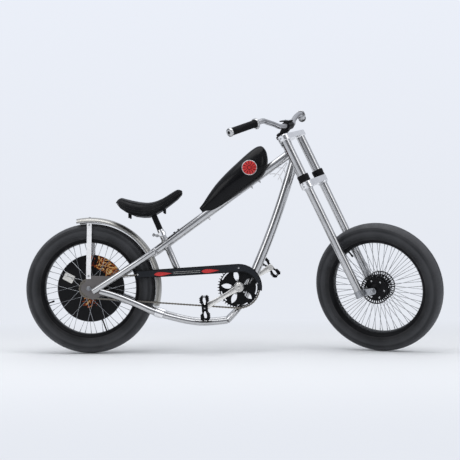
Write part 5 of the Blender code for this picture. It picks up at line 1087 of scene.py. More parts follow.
def build_card():
    """Printed disc between the spokes, with a plain label and the tie that holds it."""
    body = "rear_wheel"
    disc = lathe(both_ends([(CARD_HOLE_RADIUS, -CARD_HALF_THICKNESS), (CARD_RADIUS - 0.0006, -CARD_HALF_THICKNESS),
                            (CARD_RADIUS, -0.0004)]), 128, closed=True)
    make("printed_disc", disc, flame_card, body, REAR, ["wheel_card"])
    label = prism(rounded_outline(*LABEL_SIZE, 0.003), 0.0, 0.0003)
    make("card_label", label, pale_print, body, REAR @ shift(*LABEL_PLACE, CARD_HALF_THICKNESS) @ spin(LABEL_TURN))
    edge = rounded_ring(CARD_RADIUS, 0.0009, 128, 8)
    make("card_edge", edge, spoke_steel, body, REAR)
    strap = prism(rounded_outline(*TIE_SIZE, 0.001), 0.0, 0.0014)
    make("card_tie", strap, moulded_black, body, REAR @ spin(TIE_TURN) @ shift(TIE_REACH, 0.0, 0.0012))


def rounded_outline(length, width, corner, steps=5):
    """Rectangle with round corners, centred on the origin."""
    points = []
    for quarter, (sx, sy) in enumerate(((1, 1), (-1, 1), (-1, -1), (1, -1))):
        for step in range(steps):
            turn = math.pi / 2 * (quarter + step / (steps - 1))
            points.append((sx * (length / 2 - corner) + corner * math.cos(turn),
                           sy * (width / 2 - corner) + corner * math.sin(turn)))
    return points


def build_axle(name, body, place, inner, outer):
    """Axle with cones, washers, nuts and the threaded stub outside them."""
    half = outer + NUT_HEIGHT + AXLE_STUB
    shape = pin(AXLE_RADIUS, 2 * half, 0.0008, 24, -half)
    for sign in (-1, 1):
        turn = facing(sign)
        add(shape, washer(AXLE_RADIUS, 0.0085, 0.0045, 0.0005, 32, inner - 0.0048), turn)
        add(shape, washer(AXLE_RADIUS, 0.0098, 0.0014, 0.0003, 32, outer + 0.0002), turn)
        add(shape, hex_nut(NUT_RADIUS, NUT_HEIGHT - 0.0016, outer + 0.0016), turn)
        for ridge in range(THREAD_RIDGES):
            height = outer + NUT_HEIGHT + 0.001 + THREAD_STEP * ridge
            add(shape, rounded_ring(AXLE_RADIUS, 0.0003, 24, 6), turn @ shift(z=height))
    make(name + "_and_nuts", shape, nut_steel, body, place, [name])


def build_wheels():
    """Both wheels with what turns with them, and their axles."""
    build_tyre("front_tyre", front_rubber, "front_wheel", FRONT)
    build_tyre("rear_tyre", rear_rubber, "rear_wheel", REAR)
    build_rim("front_rim", "front_wheel", FRONT, FRONT_VALVE_TURN)
    build_rim("rear_rim", "rear_wheel", REAR, REAR_VALVE_TURN)
    build_front_hub()
    build_rear_hub()
    build_card()
    dress("rear_sprocket", chain_steel, 0.0003)
    build_axle("front_axle", "steering", FRONT, FORK_TIP_INNER_Y, FORK_TIP_OUTER_Y)
    build_axle("rear_axle", "frame", REAR, PLATE_INNER_Y, PLATE_OUTER_Y)


# Drive

def pitch_radius(teeth):
    """Radius of the circle of rollers round a toothed wheel."""
    return CHAIN_PITCH / 2 / math.sin(math.pi / teeth)


def chain_route():
    """Place of every roller in X and Z from the rear axle, as the solids have them."""
    small = pitch_radius(SPROCKET_TEETH)
    large = pitch_radius(CHAINRING_TEETH)
    lean = math.asin((large - small) / CHAINSTAY)
    run = CHAINSTAY * math.cos(lean)
    large_arc = large * (math.pi + 2 * lean)
    small_arc = small * (math.pi - 2 * lean)
    total = large_arc + small_arc + 2 * run
    links = round(total / CHAIN_PITCH)
    top = math.pi / 2 + lean
    route = []
    for link in range(links):
        distance = total * link / links
        if distance < large_arc:
            turn = top - distance / large
            route.append((CHAINSTAY + large * math.cos(turn), large * math.sin(turn)))
            continue
        distance -= large_arc
        if distance < run:
            heading = -top - math.pi / 2
            route.append((CHAINSTAY + large * math.cos(top) + distance * math.cos(heading),
                          -large * math.sin(top) + distance * math.sin(heading)))
            continue
        distance -= run
        if distance < small_arc:
            turn = -top - distance / small
            route.append((small * math.cos(turn), small * math.sin(turn)))
            continue
        distance -= small_arc
        heading = top - math.pi / 2
        route.append((small * math.cos(top) + distance * math.cos(heading),
                      small * math.sin(top) + distance * math.sin(heading)))
    return route


def link_outline(length):
    """Side plate with two round eyes and a narrow waist."""
    eye = CHAIN_PLATE_HEIGHT / 2
    points = []
    for centre, start in ((length / 2, -0.35), (-length / 2, 0.65)):
        for step in range(8):
            turn = math.pi * (start + 0.7 * step / 7)
            points.append((centre + eye * math.cos(turn), eye * math.sin(turn)))
        waist = eye * 0.62
        points.append((0.0, waist if centre > 0 else -waist))
    return points


def build_chain():
    """Roller chain with inner and outer plates, rollers and pin heads."""
    route = chain_route()
    shape = bmesh.new()
    count = len(route)
    for index, (x, z) in enumerate(route):
        ahead_x, ahead_z = route[(index + 1) % count]
        start = at(x, -CHAIN_LINE, z + AXLE_Z)
        end = at(ahead_x, -CHAIN_LINE, ahead_z + AXLE_Z)
        along = (end - start).normalized()
        place = frame_from((start + end) / 2, along, Vector((0, -1, 0)).cross(along), Vector((0, -1, 0)))
        offset = CHAIN_OUTER_PLATE if index % 2 else CHAIN_INNER_PLATE
        outline = link_outline((end - start).length)
        for sign in (-1, 1):
            low = sign * offset - CHAIN_PLATE_THICKNESS / 2
            add(shape, prism(outline, low, low + CHAIN_PLATE_THICKNESS), place)
        roller = frame_from(start, Vector((1, 0, 0)), Vector((0, 0, 1)), Vector((0, -1, 0)))
        add(shape, pin(0.0031, 0.0046, 0.0002, 10, -0.0023), roller)
        add(shape, pin(0.0017, 0.0094, 0.0003, 8, -0.0047), roller)
    make("roller_chain", shape, chain_steel, "frame", None, ["chain"])


def crank_section(x, half_height, half_thickness, middle):
    """Softened rectangle across the crank arm."""
    return [Vector((x, half_height * eased(math.cos(turn), 0.55),
                    middle + half_thickness * eased(math.sin(turn), 0.55))) for turn in ring_turns(24)]


def build_crank_arm(side_name, sign):
    """Forged arm that tapers to the pedal's eye, with its dust cap."""
    place = CRANK @ spin(math.pi + CRANK_ANGLE if sign < 0 else CRANK_ANGLE)
    if sign > 0:
        place = place @ Matrix.Scale(-1, 4, (0, 0, 1))
    middle = (CRANK_INNER_Y + CRANK_OUTER_Y) / 2
    half = (CRANK_OUTER_Y - CRANK_INNER_Y) / 2
    sections = []
    for step in range(ARM_STEPS + 1):
        share = step / ARM_STEPS
        x = -0.012 + (CRANK_LENGTH + 0.020) * share
        waist = 0.0165 - 0.0050 * math.sin(math.pi * min(share * 1.1, 1.0)) - 0.0035 * share
        sections.append(crank_section(x, waist, half * (1.0 - 0.18 * math.sin(math.pi * share)), middle))
    arm = loft(sections)
    add(arm, pin(ARM_BOSS_RADIUS, 2 * half + 0.001, 0.0015, 48, CRANK_INNER_Y - 0.0005))
    add(arm, pin(ARM_EYE_RADIUS, 2 * half, 0.0015, 40, CRANK_INNER_Y), shift(CRANK_LENGTH))
    inner_end = CHAIN_LINE + 0.0016 if sign < 0 else BRACKET_HALF_LENGTH + 0.001
    add(arm, pin(0.0165, CRANK_INNER_Y - inner_end, 0.0008, 40, inner_end))
    make(f"crank_arm_{side_name}", arm, arm_metal, "crank", place, [f"crank_{side_name}"])
    cap = pin(0.0110, 0.0016, 0.0006, 32, CRANK_OUTER_Y)
    add(cap, hex_nut(0.0062, 0.0022, CRANK_OUTER_Y + 0.0008))
    make(f"crank_cap_{side_name}", cap, arm_metal, "crank", place)
    spindle = pin(0.0037, PEDAL_WIDTH + PEDAL_GAP + 0.004, 0.0006, 20, CRANK_OUTER_Y - 0.004)
    add(spindle, hex_nut(0.0088, 0.0052, CRANK_OUTER_Y + 0.0004))
    make(f"pedal_spindle_{side_name}", spindle, chrome, "crank", place @ shift(CRANK_LENGTH))


def build_drive():
    """Chain, chainring, cranks, and the pedals with their moulded skin."""
    build_chain()
    dress("chainring", satin_black, 0.0004)
    dress("bottom_bracket_spindle", nut_steel, 0.0004)
    for side_name, sign in SIDES.items():
        build_crank_arm(side_name, sign)
        dress(f"pedal_{side_name}", moulded_black, 0.0009)
        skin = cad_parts[f"pedal_{side_name}"].modifiers.new("moulded_skin", "DISPLACE")
        skin.strength = PEDAL_SKIN
        skin.mid_level = 0.0
    bolts = bmesh.new()
    for turn in ring_turns(CHAINRING_BOLTS, 0.5):
        spot = wheel_point(CHAINRING_BOLT_REACH, turn + math.pi + CRANK_ANGLE, CHAIN_LINE + 0.0014)
        add(bolts, button_screw(*CHAINRING_SCREW), Matrix.Translation(spot))
    make("chainring_bolts", bolts, chrome, "crank", CRANK)
    ring = rounded_ring(0.0205, 0.0014, 64, 10)
    make("chainring_collar", ring, chrome, "crank", CRANK @ shift(z=CHAIN_LINE + 0.0016))


# Frame

def tube_piece(name, path, radius, finish, replaced, sides=40):
    """Tube that rides on the frame and stands in for one of its solids."""
    return make(name, tube(path, radius, sides), finish, "frame", None, replaced)


def weld(name, start, along, radius, post, post_along, post_radius):
    """Rippled bead along the line where one round tube meets another."""
    along = along.normalized()
    post_along = post_along.normalized()
    side = along.orthogonal().normalized()
    across = along.cross(side)
    ray = along - post_along * along.dot(post_along)
    points = []
    for turn in ring_turns(WELD_POINTS):
        foot = start + radius * (math.cos(turn) * side + math.sin(turn) * across)
        gap = foot - post
        gap = gap - post_along * gap.dot(post_along)
        b = gap.dot(ray)
        a = ray.dot(ray)
        c = gap.dot(gap) - post_radius ** 2
        root = max(b * b - a * c, 0.0)
        points.append(foot + along * ((-b - math.sqrt(root)) / a))
    radii = [WELD_RADIUS * (1.0 + WELD_RIPPLE * math.sin(step * math.tau / 3)) for step in range(WELD_POINTS)]
    make(name, tube(points, radii, 8, ring=True), chrome, "frame")


def down_tube_path(steps=24):
    """Bowed line from the foot of the down tube up to the steering axis."""
    top = on_steering_axis(DOWN_TUBE_HEAD_HEIGHT)
    foot = at(DOWN_TUBE_FOOT_X, 0.0, DOWN_TUBE_FOOT_Z)
    chord = top - foot
    bow = Vector((chord.z, 0.0, -chord.x)).normalized() * DOWN_TUBE_BOW
    return [foot + chord * (step / steps) + bow * math.sin(math.pi * step / steps) for step in range(steps + 1)]


def rail_path(sign, steps=6):
    """Line of one lower rail from the rear plate forward."""
    knots = [at(x, sign * (RAIL_REAR_Y + (RAIL_FRONT_Y - RAIL_REAR_Y) * share), z) for x, z, share in RAIL_KNOTS]
    return smooth_line(knots, steps)


def build_head_tube():
    """Head tube with its flared cups and dark seals."""
    low = LOWER_CROWN_TOP + 0.004
    length = TOP_CROWN_HEIGHT - 0.004 - low
    cup = HEAD_CUP_HEIGHT
    profile = [(0.0153, 0.0), (HEAD_CUP_RADIUS - 0.001, 0.0), (HEAD_CUP_RADIUS, 0.001), (HEAD_CUP_RADIUS, cup * 0.55),
               (HEAD_TUBE_RADIUS + 0.0012, cup), (HEAD_TUBE_RADIUS, cup + 0.001),
               (HEAD_TUBE_RADIUS, length - cup - 0.001), (HEAD_TUBE_RADIUS + 0.0012, length - cup),
               (HEAD_CUP_RADIUS, length - cup * 0.55), (HEAD_CUP_RADIUS, length - 0.001),
               (HEAD_CUP_RADIUS - 0.001, length), (0.0153, length)]
    place = along_line(on_steering_axis(low), on_steering_axis(low + length))
    make("head_tube_and_cups", lathe(profile, 48, closed=True), chrome, "frame", place, ["head_tube"])
    for name, height in (("head_seal_low", 0.0004), ("head_seal_high", length - 0.0004)):
        seal = rounded_ring(HEAD_CUP_RADIUS - 0.0006, 0.0011, 48, 8)
        make(name, seal, moulded_black, "frame", place @ shift(z=height))


def build_main_tubes():
    """Top tube, down tube and bracket shell, with their welds and the bracket's cups."""
    tube_piece("top_tube_chrome", [TOP_TUBE_TAIL, TOP_TUBE_HEAD], TOP_TUBE_RADIUS, chrome, ["top_tube"], 48)
    down = down_tube_path()
    tube_piece("down_tube_chrome", down, DOWN_TUBE_RADIUS, chrome, ["down_tube"], 48)
    head = on_steering_axis(0.0)
    weld("weld_top_to_head", TOP_TUBE_HEAD - TOP_TUBE_ALONG * 0.1, TOP_TUBE_ALONG, TOP_TUBE_RADIUS, head, STEER_UP,
         HEAD_TUBE_RADIUS)
    weld("weld_down_to_head", down[-4], down[-1] - down[-3], DOWN_TUBE_RADIUS * 0.97, head, STEER_UP, HEAD_TUBE_RADIUS)
    shell = pin(BRACKET_RADIUS, 2 * BRACKET_HALF_LENGTH, 0.0008, 48, -BRACKET_HALF_LENGTH)
    make("bracket_shell_chrome", shell, chrome, "frame", CRANK, ["bottom_bracket_shell"])
    cups = bmesh.new()
    for sign in (-1, 1):
        add(cups, washer(0.0096, 0.0200, 0.0024, 0.0006, 40, BRACKET_HALF_LENGTH - 0.0006), facing(sign))
        for turn in ring_turns(8):
            spot = wheel_point(0.0168, turn, BRACKET_HALF_LENGTH + 0.0016)
            add(cups, pin(0.0012, 0.0005, 0.0001, 8), facing(sign) @ Matrix.Translation(spot))
    make("bracket_cups", cups, satin_black, "frame", CRANK)
    bracket = CRANK.translation
    weld("weld_down_to_bracket_high", down[8], down[3] - down[6], DOWN_TUBE_RADIUS, bracket, Vector((0, 1, 0)),
         BRACKET_RADIUS)
    cap = lathe([(0.0, -0.002), (DOWN_TUBE_RADIUS * 0.9, -0.0012), (DOWN_TUBE_RADIUS, 0.0), (0.0, 0.0)], 40)
    make("down_tube_foot_cap", cap, chrome, "frame", along_line(down[0], down[1]))


def build_rear_triangle():
    """Yoke, and on each side the seat stay, the lower rail with its band, the plate and the strut."""
    half = STAY_TOP_Y + STAY_RADIUS * 0.6
    yoke = pin(YOKE_RADIUS, 2 * half, 0.002, 40, -half)
    make("yoke_chrome", yoke, chrome, "frame", side_frame(YOKE_POINT, (0, 1, 0), (0, 0, 1)), ["rear_yoke"])
    weld("weld_top_to_yoke", TOP_TUBE_TAIL + TOP_TUBE_ALONG * 0.1, -TOP_TUBE_ALONG, TOP_TUBE_RADIUS * 0.66, YOKE_POINT,
         Vector((0, 1, 0)), YOKE_RADIUS)
    for side_name, sign in SIDES.items():
        foot = at(STAY_FOOT[0], sign * STAY_FOOT[1], STAY_FOOT[2])
        top = YOKE_POINT + Vector((0.0, sign * STAY_TOP_Y, 0.0))
        along = (top - foot).normalized()
        length = (top - foot).length
        stay = lathe([(0.0, -0.0016), (STAY_RADIUS * 0.6, -0.0012), (STAY_RADIUS * 0.92, 0.0004), (STAY_RADIUS, 0.003),
                      (STAY_RADIUS, length + 0.002), (STAY_RADIUS * 0.9, length + 0.004), (0.0, length + 0.005)], 40)
        make(f"seat_stay_{side_name}_chrome", stay, chrome, "frame", along_line(foot, top), [f"seat_stay_{side_name}"])
        weld(f"weld_stay_{side_name}", top - along * 0.1, along, STAY_RADIUS * 0.88, YOKE_POINT, Vector((0, 1, 0)),
             YOKE_RADIUS)
        path = rail_path(sign)
        radii = [RAIL_SLEEVE_RADIUS if point.x < RAIL_SLEEVE_END_X - SEAT_X else RAIL_RADIUS for point in path]
        rail = tube(path, radii, 36)
        make(f"lower_rail_{side_name}_chrome", rail, chrome, "frame", None, [f"lower_rail_{side_name}"])
        band = [point for point in rail_path(sign, 24) if RAIL_BAND_X < point.x + SEAT_X < RAIL_SLEEVE_END_X]
        make(f"rail_band_{side_name}", tube(band, RAIL_BAND_RADIUS, 36), crown_metal, "frame")
        dress(f"rear_plate_{side_name}", plate_steel, 0.0009)
        build_strut(side_name, sign)


def build_strut(side_name, sign):
    """Flat fender stay with its two bolts."""
    # The struts' pale flat finish is a painted reflection of their chrome
    dress(f"fender_strut_{side_name}", strut_pale_reflection, 0.0007)
    low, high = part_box(f"fender_strut_{side_name}")
    middle = (low.x + high.x) / 2
    outward = spin(-sign * math.pi / 2, "X")
    plate_y = sign * (PLATE_OUTER_Y + 0.0038)
    fender_y = sign * (FENDER_HALF_WIDTH + 0.0038)
    bolts = bmesh.new()
    add(bolts, button_screw(*STRUT_FOOT_SCREW), shift(middle, plate_y, low.z + 0.012) @ outward)
    add(bolts, button_screw(*STRUT_HEAD_SCREW), shift(middle, fender_y, high.z - 0.008) @ outward)
    make(f"strut_bolts_{side_name}", bolts, chrome, "frame")


def build_cradle():
    """Strut that runs from one rail's end under the down tube's foot to the other."""
    knot = RAIL_KNOTS[-1]
    end = at(knot[0], RAIL_FRONT_Y, knot[1])
    top = at(DOWN_TUBE_FOOT_X, CRADLE_TOP_Y, DOWN_TUBE_FOOT_Z - CRADLE_RADIUS)
    left = [top, top + (end - top) * 0.5 + Vector((CRADLE_RADIUS / 4, 0.0, 0.0)), end]
    path = smooth_line([Vector((p.x, -p.y, p.z)) for p in reversed(left)] + left, 8)
    tube_piece("cradle_chrome", path, CRADLE_RADIUS, chrome, ["cradle_strut"], 32)


def build_seat_mast():
    """Seat tube with its post, clamp, knob and welds."""
    place = along_line(SEAT_TUBE_TOP, SEAT_TUBE_FOOT)
    mast = lathe([(SEAT_POST_RADIUS, 0.0), (SEAT_TUBE_RADIUS - 0.0004, 0.0), (SEAT_TUBE_RADIUS, 0.0006),
                  (SEAT_TUBE_RADIUS, SEAT_TUBE_LENGTH), (0.0, SEAT_TUBE_LENGTH)], 40)
    make("seat_tube_chrome", mast, chrome, "frame", place, ["seat_tube"])
    post = pin(SEAT_POST_RADIUS, SEAT_POST_EXPOSED + 0.05, 0.0006, 40, -SEAT_POST_EXPOSED)
    make("seat_post_black", post, satin_black, "frame", place, ["seat_post"])
    dress("seat_clamp", crown_metal, 0.0006)
    knob = pin(0.0048, 0.0120, 0.0008, 20)
    add(knob, pin(0.0078, 0.0100, 0.0034, 32, 0.0075))
    make("seat_clamp_knob", knob, chrome, "frame", along_line(at(*SEAT_KNOB_START), at(*SEAT_KNOB_END)))
    for sign in (-1, 1):
        start = SEAT_TUBE_TOP + SEAT_TUBE_DOWN * (0.0 if sign > 0 else SEAT_TUBE_LENGTH)
        weld("weld_mast_high" if sign > 0 else "weld_mast_low", start, SEAT_TUBE_DOWN * sign, SEAT_TUBE_RADIUS,
             TOP_TUBE_TAIL, TOP_TUBE_ALONG, TOP_TUBE_RADIUS)
    foot = pin(SEAT_TUBE_RADIUS * 0.96, 0.0012, 0.0005, 32, SEAT_TUBE_LENGTH)
    make("seat_tube_plug", foot, moulded_black, "frame", place)


def fender_profile(depth_cut, width_cut, steps=16):
    """Arch of radius and half width over the tyre, less a cut inward."""
    points = []
    for step in range(steps + 1):
        turn = math.pi * step / steps
        arch = math.sin(turn) ** 0.75
        points.append((FENDER_LIP_RADIUS + (FENDER_RADIUS - FENDER_LIP_RADIUS - depth_cut) * arch,
                       (FENDER_HALF_WIDTH - width_cut) * math.cos(turn)))
    return points


def build_fender():
    """Chromed gutter with a wired edge all round."""
    profile = fender_profile(0.0, 0.0) + fender_profile(FENDER_SHEET, FENDER_SHEET)[::-1]
    span = FENDER_END - FENDER_START
    sections = [[wheel_point(radius, FENDER_START + span * step / FENDER_STEPS, height) for radius, height in profile]
                for step in range(FENDER_STEPS + 1)]
    make("fender_chrome", loft(sections), fender_steel, "frame", REAR, ["rear_fender"], sharp=45.0)
    lip = FENDER_LIP_RADIUS + 0.001
    edge = FENDER_HALF_WIDTH - 0.0006
    arch = fender_profile(0.0008, 0.0008)[1:-1]
    steps = range(FENDER_EDGE_STEPS + 1)
    loop = [wheel_point(lip, FENDER_START + span * step / FENDER_EDGE_STEPS, -edge) for step in steps]
    loop += [wheel_point(radius, FENDER_END, -height) for radius, height in arch]
    loop += [wheel_point(lip, FENDER_END - span * step / FENDER_EDGE_STEPS, edge) for step in steps]
    loop += [wheel_point(radius, FENDER_START, height) for radius, height in arch]
    make("fender_wired_edge", tube(loop, FENDER_EDGE_RADIUS, 8, ring=True), chrome, "frame", REAR)
    bolts = bmesh.new()
    for turn, across in ((FENDER_BOLT_TURN, 0.0), (YOKE_ANGLE, 0.02)):
        place = spin(turn) @ shift(FENDER_RADIUS - 0.0002, 0.0, across) @ spin(math.pi / 2, "Y")
        add(bolts, button_screw(*FENDER_SCREW), place)
    make("fender_bolts", bolts, nut_steel, "frame", REAR)


# Tank

def tank_ring(share):
    """Shares of length, top, underside and half width at a share of the tank's length."""
    for first, second in zip(TANK_CURVE, TANK_CURVE[1:]):
        if first[0] <= share <= second[0]:
            part = (share - first[0]) / max(second[0] - first[0], 1e-6)
            return tuple(a + (b - a) * part for a, b in zip(first, second))
    return TANK_CURVE[-1]


def four_smooth(rows, steps=6):
    """Smooth curve through rows of four numbers."""
    path = []
    last = len(rows) - 1
    for index in range(last):
        for step in range(steps):
            first, second, third, fourth = curve_weights(step / steps)
            row = []
            for column in range(4):
                start, end = rows[index][column], rows[index + 1][column]
                leave = (end - rows[max(index - 1, 0)][column]) / 2
                arrive = (rows[min(index + 2, last)][column] - start) / 2
                row.append(first * start + second * leave + third * end + fourth * arrive)
            path.append(tuple(row))
    path.append(tuple(rows[last]))
    return path


TANK_CURVE = four_smooth(TANK_SHARES)


def over_tube(along, rise):
    """Point along the top tube and above its line."""
    return TOP_TUBE_TAIL + TOP_TUBE_ALONG * along + TOP_TUBE_RISE * rise


def tank_levels(share):
    """Middle height, half height and half width of the tank at a share of its length."""
    _, top, bottom, width = tank_ring(share)
    return TANK_HEIGHT * (top + bottom) / 2, TANK_HEIGHT * (top - bottom) / 2, width


def tank_point(share, turn, scale=1.0):
    """Point on the tank at a share of its length and a turn round it."""
    middle, half_height, width = tank_levels(share)
    sine = math.sin(turn)
    across = eased(math.cos(turn), TANK_SIDE_POWER) * TANK_HALF_WIDTH * width
    rise = eased(sine, TANK_RISE_POWER) * half_height
    lean = 1.0 - TANK_LEAN * max(sine, 0.0)
    base = over_tube(TANK_START + TANK_LENGTH * share, middle + rise * scale)
    return base + Vector((0.0, across * lean * scale, 0.0))


def tank_side_y(along, height):
    """Half width of the tank at a place along and above the top tube."""
    middle, half_height, width = tank_levels((along - TANK_START) / TANK_LENGTH)
    sine = eased(max(-0.999, min(0.999, (height - middle) / half_height)), 1 / TANK_RISE_POWER)
    cosine = (1.0 - sine * sine) ** (TANK_SIDE_POWER / 2)
    return cosine * TANK_HALF_WIDTH * width * (1.0 - TANK_LEAN * max(sine, 0.0))


def build_tank():
    """Teardrop tank in deep lacquer."""
    turns = ring_turns(TANK_COLUMNS, 0.5)
    sections = [[tank_point(0.0, turn, scale) for turn in turns] for scale in (0.3, 0.7)]
    sections += [[tank_point(row[0], turn) for turn in turns] for row in TANK_CURVE]
    sections += [[tank_point(1.0, turn, scale) for turn in turns] for scale in (0.8, 0.5, 0.2)]
    make("tank_body", loft(sections), tank_black, "frame", None, ["tank"], sharp=60.0)


def on_badge(sign, radius, turn, proud):
    """Point of one side's badge, that far proud of the tank's side."""
    along = BADGE_ALONG + radius * math.cos(turn)
    height = BADGE_HEIGHT + radius * math.sin(turn)
    return over_tube(along, height) + Vector((0.0, sign * (tank_side_y(along, height) + proud), 0.0))


def badge_disc(sign, inner, outer, proud, rings=6, columns=72):
    """Round open skin that follows the tank's side, as proud of it as a function of its width says."""
    sections = []
    for row in range(rings + 1):
        radius = inner + (outer - inner) * row / rings
        lift = proud(row / rings)
        sections.append([on_badge(sign, radius, turn, lift) for turn in ring_turns(columns)])
    return loft(sections, capped=False)


def build_badges():
    """Red enamel disc in a chromed rim, with a plain sunburst of black rays round a ring."""
    for side_name, sign in SIDES.items():
        enamel = badge_disc(sign, 0.0006, BADGE_RADIUS * 0.9, lambda share: BADGE_ENAMEL_PROUD)
        make(f"badge_enamel_{side_name}", enamel, red_enamel, "frame")
        rim = badge_disc(sign, BADGE_RADIUS * 0.86, BADGE_RADIUS,
                         lambda share: BADGE_RIM_PROUD * math.sin(math.pi * share) ** 0.6)
        make(f"badge_rim_{side_name}", rim, chrome, "frame")
        rays = bmesh.new()
        for turn in ring_turns(BADGE_RAYS):
            path = [on_badge(sign, BADGE_RADIUS * (0.30 + 0.50 * step / 6), turn, BADGE_RAY_PROUD)
                    for step in range(7)]
            add(rays, tube(path, [0.0005 + 0.0010 * step / 6 for step in range(7)], 8))
        circle = [on_badge(sign, BADGE_RADIUS * 0.24, turn, BADGE_RAY_PROUD) for turn in ring_turns(36)]
        add(rays, tube(circle, 0.0011, 8, ring=True))
        make(f"badge_rays_{side_name}", rays, satin_black, "frame")


def build_tank_clips():
    """Three clamps under the top tube and two rubber stops on it."""
    clips = bmesh.new()
    for along in CLIP_PLACES:
        band = washer(TOP_TUBE_RADIUS, TOP_TUBE_RADIUS + 0.0012, CLIP_LENGTH, 0.0003, 48, along)
        add(clips, band, along_line(TOP_TUBE_TAIL, TOP_TUBE_HEAD))
        spot = over_tube(along + CLIP_LENGTH / 2, -(TOP_TUBE_RADIUS + 0.0006))
        add(clips, hex_nut(0.0048, 0.0040), along_line(spot, spot - TOP_TUBE_RISE))
        add(clips, pin(0.0024, 0.0085, 0.0004, 14), along_line(spot, spot - TOP_TUBE_RISE))
    make("tank_clips", clips, chrome, "frame")
    stops = bmesh.new()
    for along in STOP_PLACES:
        spot = over_tube(along, TOP_TUBE_RADIUS - 0.001)
        add(stops, pin(0.0048, 0.0042, 0.0012, 24), along_line(spot, spot + TOP_TUBE_RISE))
    make("cable_stops", stops, moulded_black, "frame")


# Saddle

SADDLE_CURVE = four_smooth(SADDLE_SHARES, 5)


def saddle_levels(row):
    """X, height of the seam, height of the crown and half width of one ring."""
    x_share, top_share, bottom_share, width_share = row
    top = SADDLE_MID_Z + SADDLE_HEIGHT * top_share
    bottom = SADDLE_MID_Z + SADDLE_HEIGHT * bottom_share
    split = bottom + min(SADDLE_PAN_THICKNESS, (top - bottom) * 0.3)
    return SADDLE_REAR_X + SADDLE_LENGTH * x_share, split, top, SADDLE_HALF_WIDTH * width_share


def saddle_point(row, turn, swell=1.0):
    """Point of the cover at one ring and a turn round it."""
    x, low, top, half = saddle_levels(row)
    sine = math.sin(turn)
    across = half * eased(math.cos(turn), SADDLE_ROUND_POWER) * swell
    if sine >= 0:
        return at(x, across, low + 0.0005 + (top - low) * sine ** SADDLE_ROUND_POWER)
    return at(x, across * (1.0 + 0.06 * sine), low + 0.0004)


def build_saddle():
    """Padded cover in three panels, with piping, stitches and a moulded base."""
    sections = [[saddle_point(row, turn) for turn in ring_turns(SADDLE_COLUMNS)] for row in SADDLE_CURVE]
    cover = make("saddle_cover", loft(sections), leather, "frame", None, ["saddle"], sharp=70.0)
    smooth = cover.modifiers.new("soft_padding", "SUBSURF")
    smooth.levels = 1
    smooth.render_levels = 1
    piping = bmesh.new()
    stitches = bmesh.new()
    for high_turn, low_turn, seam_turn in SADDLE_LINES:
        for turn, swell, radius in ((high_turn, 1.004, PIPING_RADIUS), (low_turn, 1.002, LOW_PIPING_RADIUS)):
            path = [saddle_point(row, math.radians(turn), swell) for row in SADDLE_CURVE]
            add(piping, tube(path, radius, 10))
        seam = smooth_line([saddle_point(row, math.radians(seam_turn), 1.004) for row in SADDLE_CURVE], 3)
        for index in range(2, len(seam) - 2, 2):
            start, end = seam[index], seam[index + 1]
            add(stitches, tube([start.lerp(end, 0.15), start.lerp(end, 0.85)], STITCH_RADIUS, 6))
    make("saddle_piping", piping, leather, "frame")
    make("saddle_stitches", stitches, pale_thread, "frame")
    dress("saddle_pan", moulded_black, 0.0010)
    pins = bmesh.new()
    for x, z in PAN_PINS:
        for sign in (-1, 1):
            spot = at(x, sign * PAN_PIN_Y, z - 0.010)
            add(pins, pin(0.0042, PAN_PIN_LENGTH, 0.0008, 16), Matrix.Translation(spot))
    make("saddle_pan_pins", pins, moulded_black, "frame")


# Chain guard

def guard_curves():
    """Outer and inner edge of the guard's hoop and its rear corners, in X and Z."""
    centre_x, centre_z = CHAINSTAY, AXLE_Z
    rise = centre_z + GUARD_HOOP_RADIUS - GUARD_REAR_MIDDLE_Z - GUARD_REAR_HEIGHT / 2
    slope = rise / (centre_x - GUARD_REAR_X)
    start = math.pi / 2 + math.atan(slope) / 2
    outer = []
    inner = []
    for step in range(GUARD_HOOP_STEPS + 1):
        share = step / GUARD_HOOP_STEPS
        turn = start + (GUARD_HOOP_END - start) * share
        outer.append((centre_x + GUARD_HOOP_RADIUS * math.cos(turn), centre_z + GUARD_HOOP_RADIUS * math.sin(turn)))
        radius = GUARD_HOOP_RADIUS * (GUARD_INNER_SHARE + GUARD_INNER_GROWTH * share)
        inner.append((centre_x + radius * math.cos(turn), centre_z + radius * math.sin(turn)))
    rear_top = (GUARD_REAR_X, GUARD_REAR_MIDDLE_Z + GUARD_REAR_HEIGHT / 2)
    rear_low = (GUARD_REAR_X, GUARD_REAR_MIDDLE_Z - GUARD_REAR_HEIGHT / 2)
    return outer, inner, rear_top, rear_low


def shrunk(outline, distance):
    """The outline moved in by a distance, corner by corner."""
    count = len(outline)
    area = sum(outline[i][0] * outline[(i + 1) % count][1] - outline[(i + 1) % count][0] * outline[i][1]
               for i in range(count))
    sign = -1 if area > 0 else 1
    moved = []
    for index in range(count):
        before, here, after = Vector(outline[index - 1]), Vector(outline[index]), Vector(outline[(index + 1) % count])
        first = (here - before).normalized()
        second = (after - here).normalized()
        normal = (Vector((first.y, -first.x)) + Vector((second.y, -second.x))) * sign
        moved.append(tuple(here + normal / (1 + first.dot(second)) * distance))
    return moved


def outward_face(outline, proud, thickness):
    """Flat face on the guard's right side from X and Z points."""
    shape = prism([(x - SEAT_X, z - SEAT_Z) for x, z in outline], proud, proud + thickness)
    shape.transform(Matrix(((1, 0, 0, 0), (0, 0, -1, 0), (0, 1, 0, 0), (0, 0, 0, 1))))
    return shape


def lens_outline(x, z, half_length, half_height, lean):
    """Slim flame stripe, blunt behind and drawn out in front."""
    points = []
    for sign in (1, -1):
        for step in range(12):
            share = step / 12 if sign > 0 else 1 - step / 12
            along = half_length * (2 * share - 1)
            swell = half_height * (math.sin(math.pi * share ** 0.62)) ** 1.1
            points.append((x + along * math.cos(lean) - sign * swell * math.sin(lean),
                           z + along * math.sin(lean) + sign * swell * math.cos(lean)))
    return points


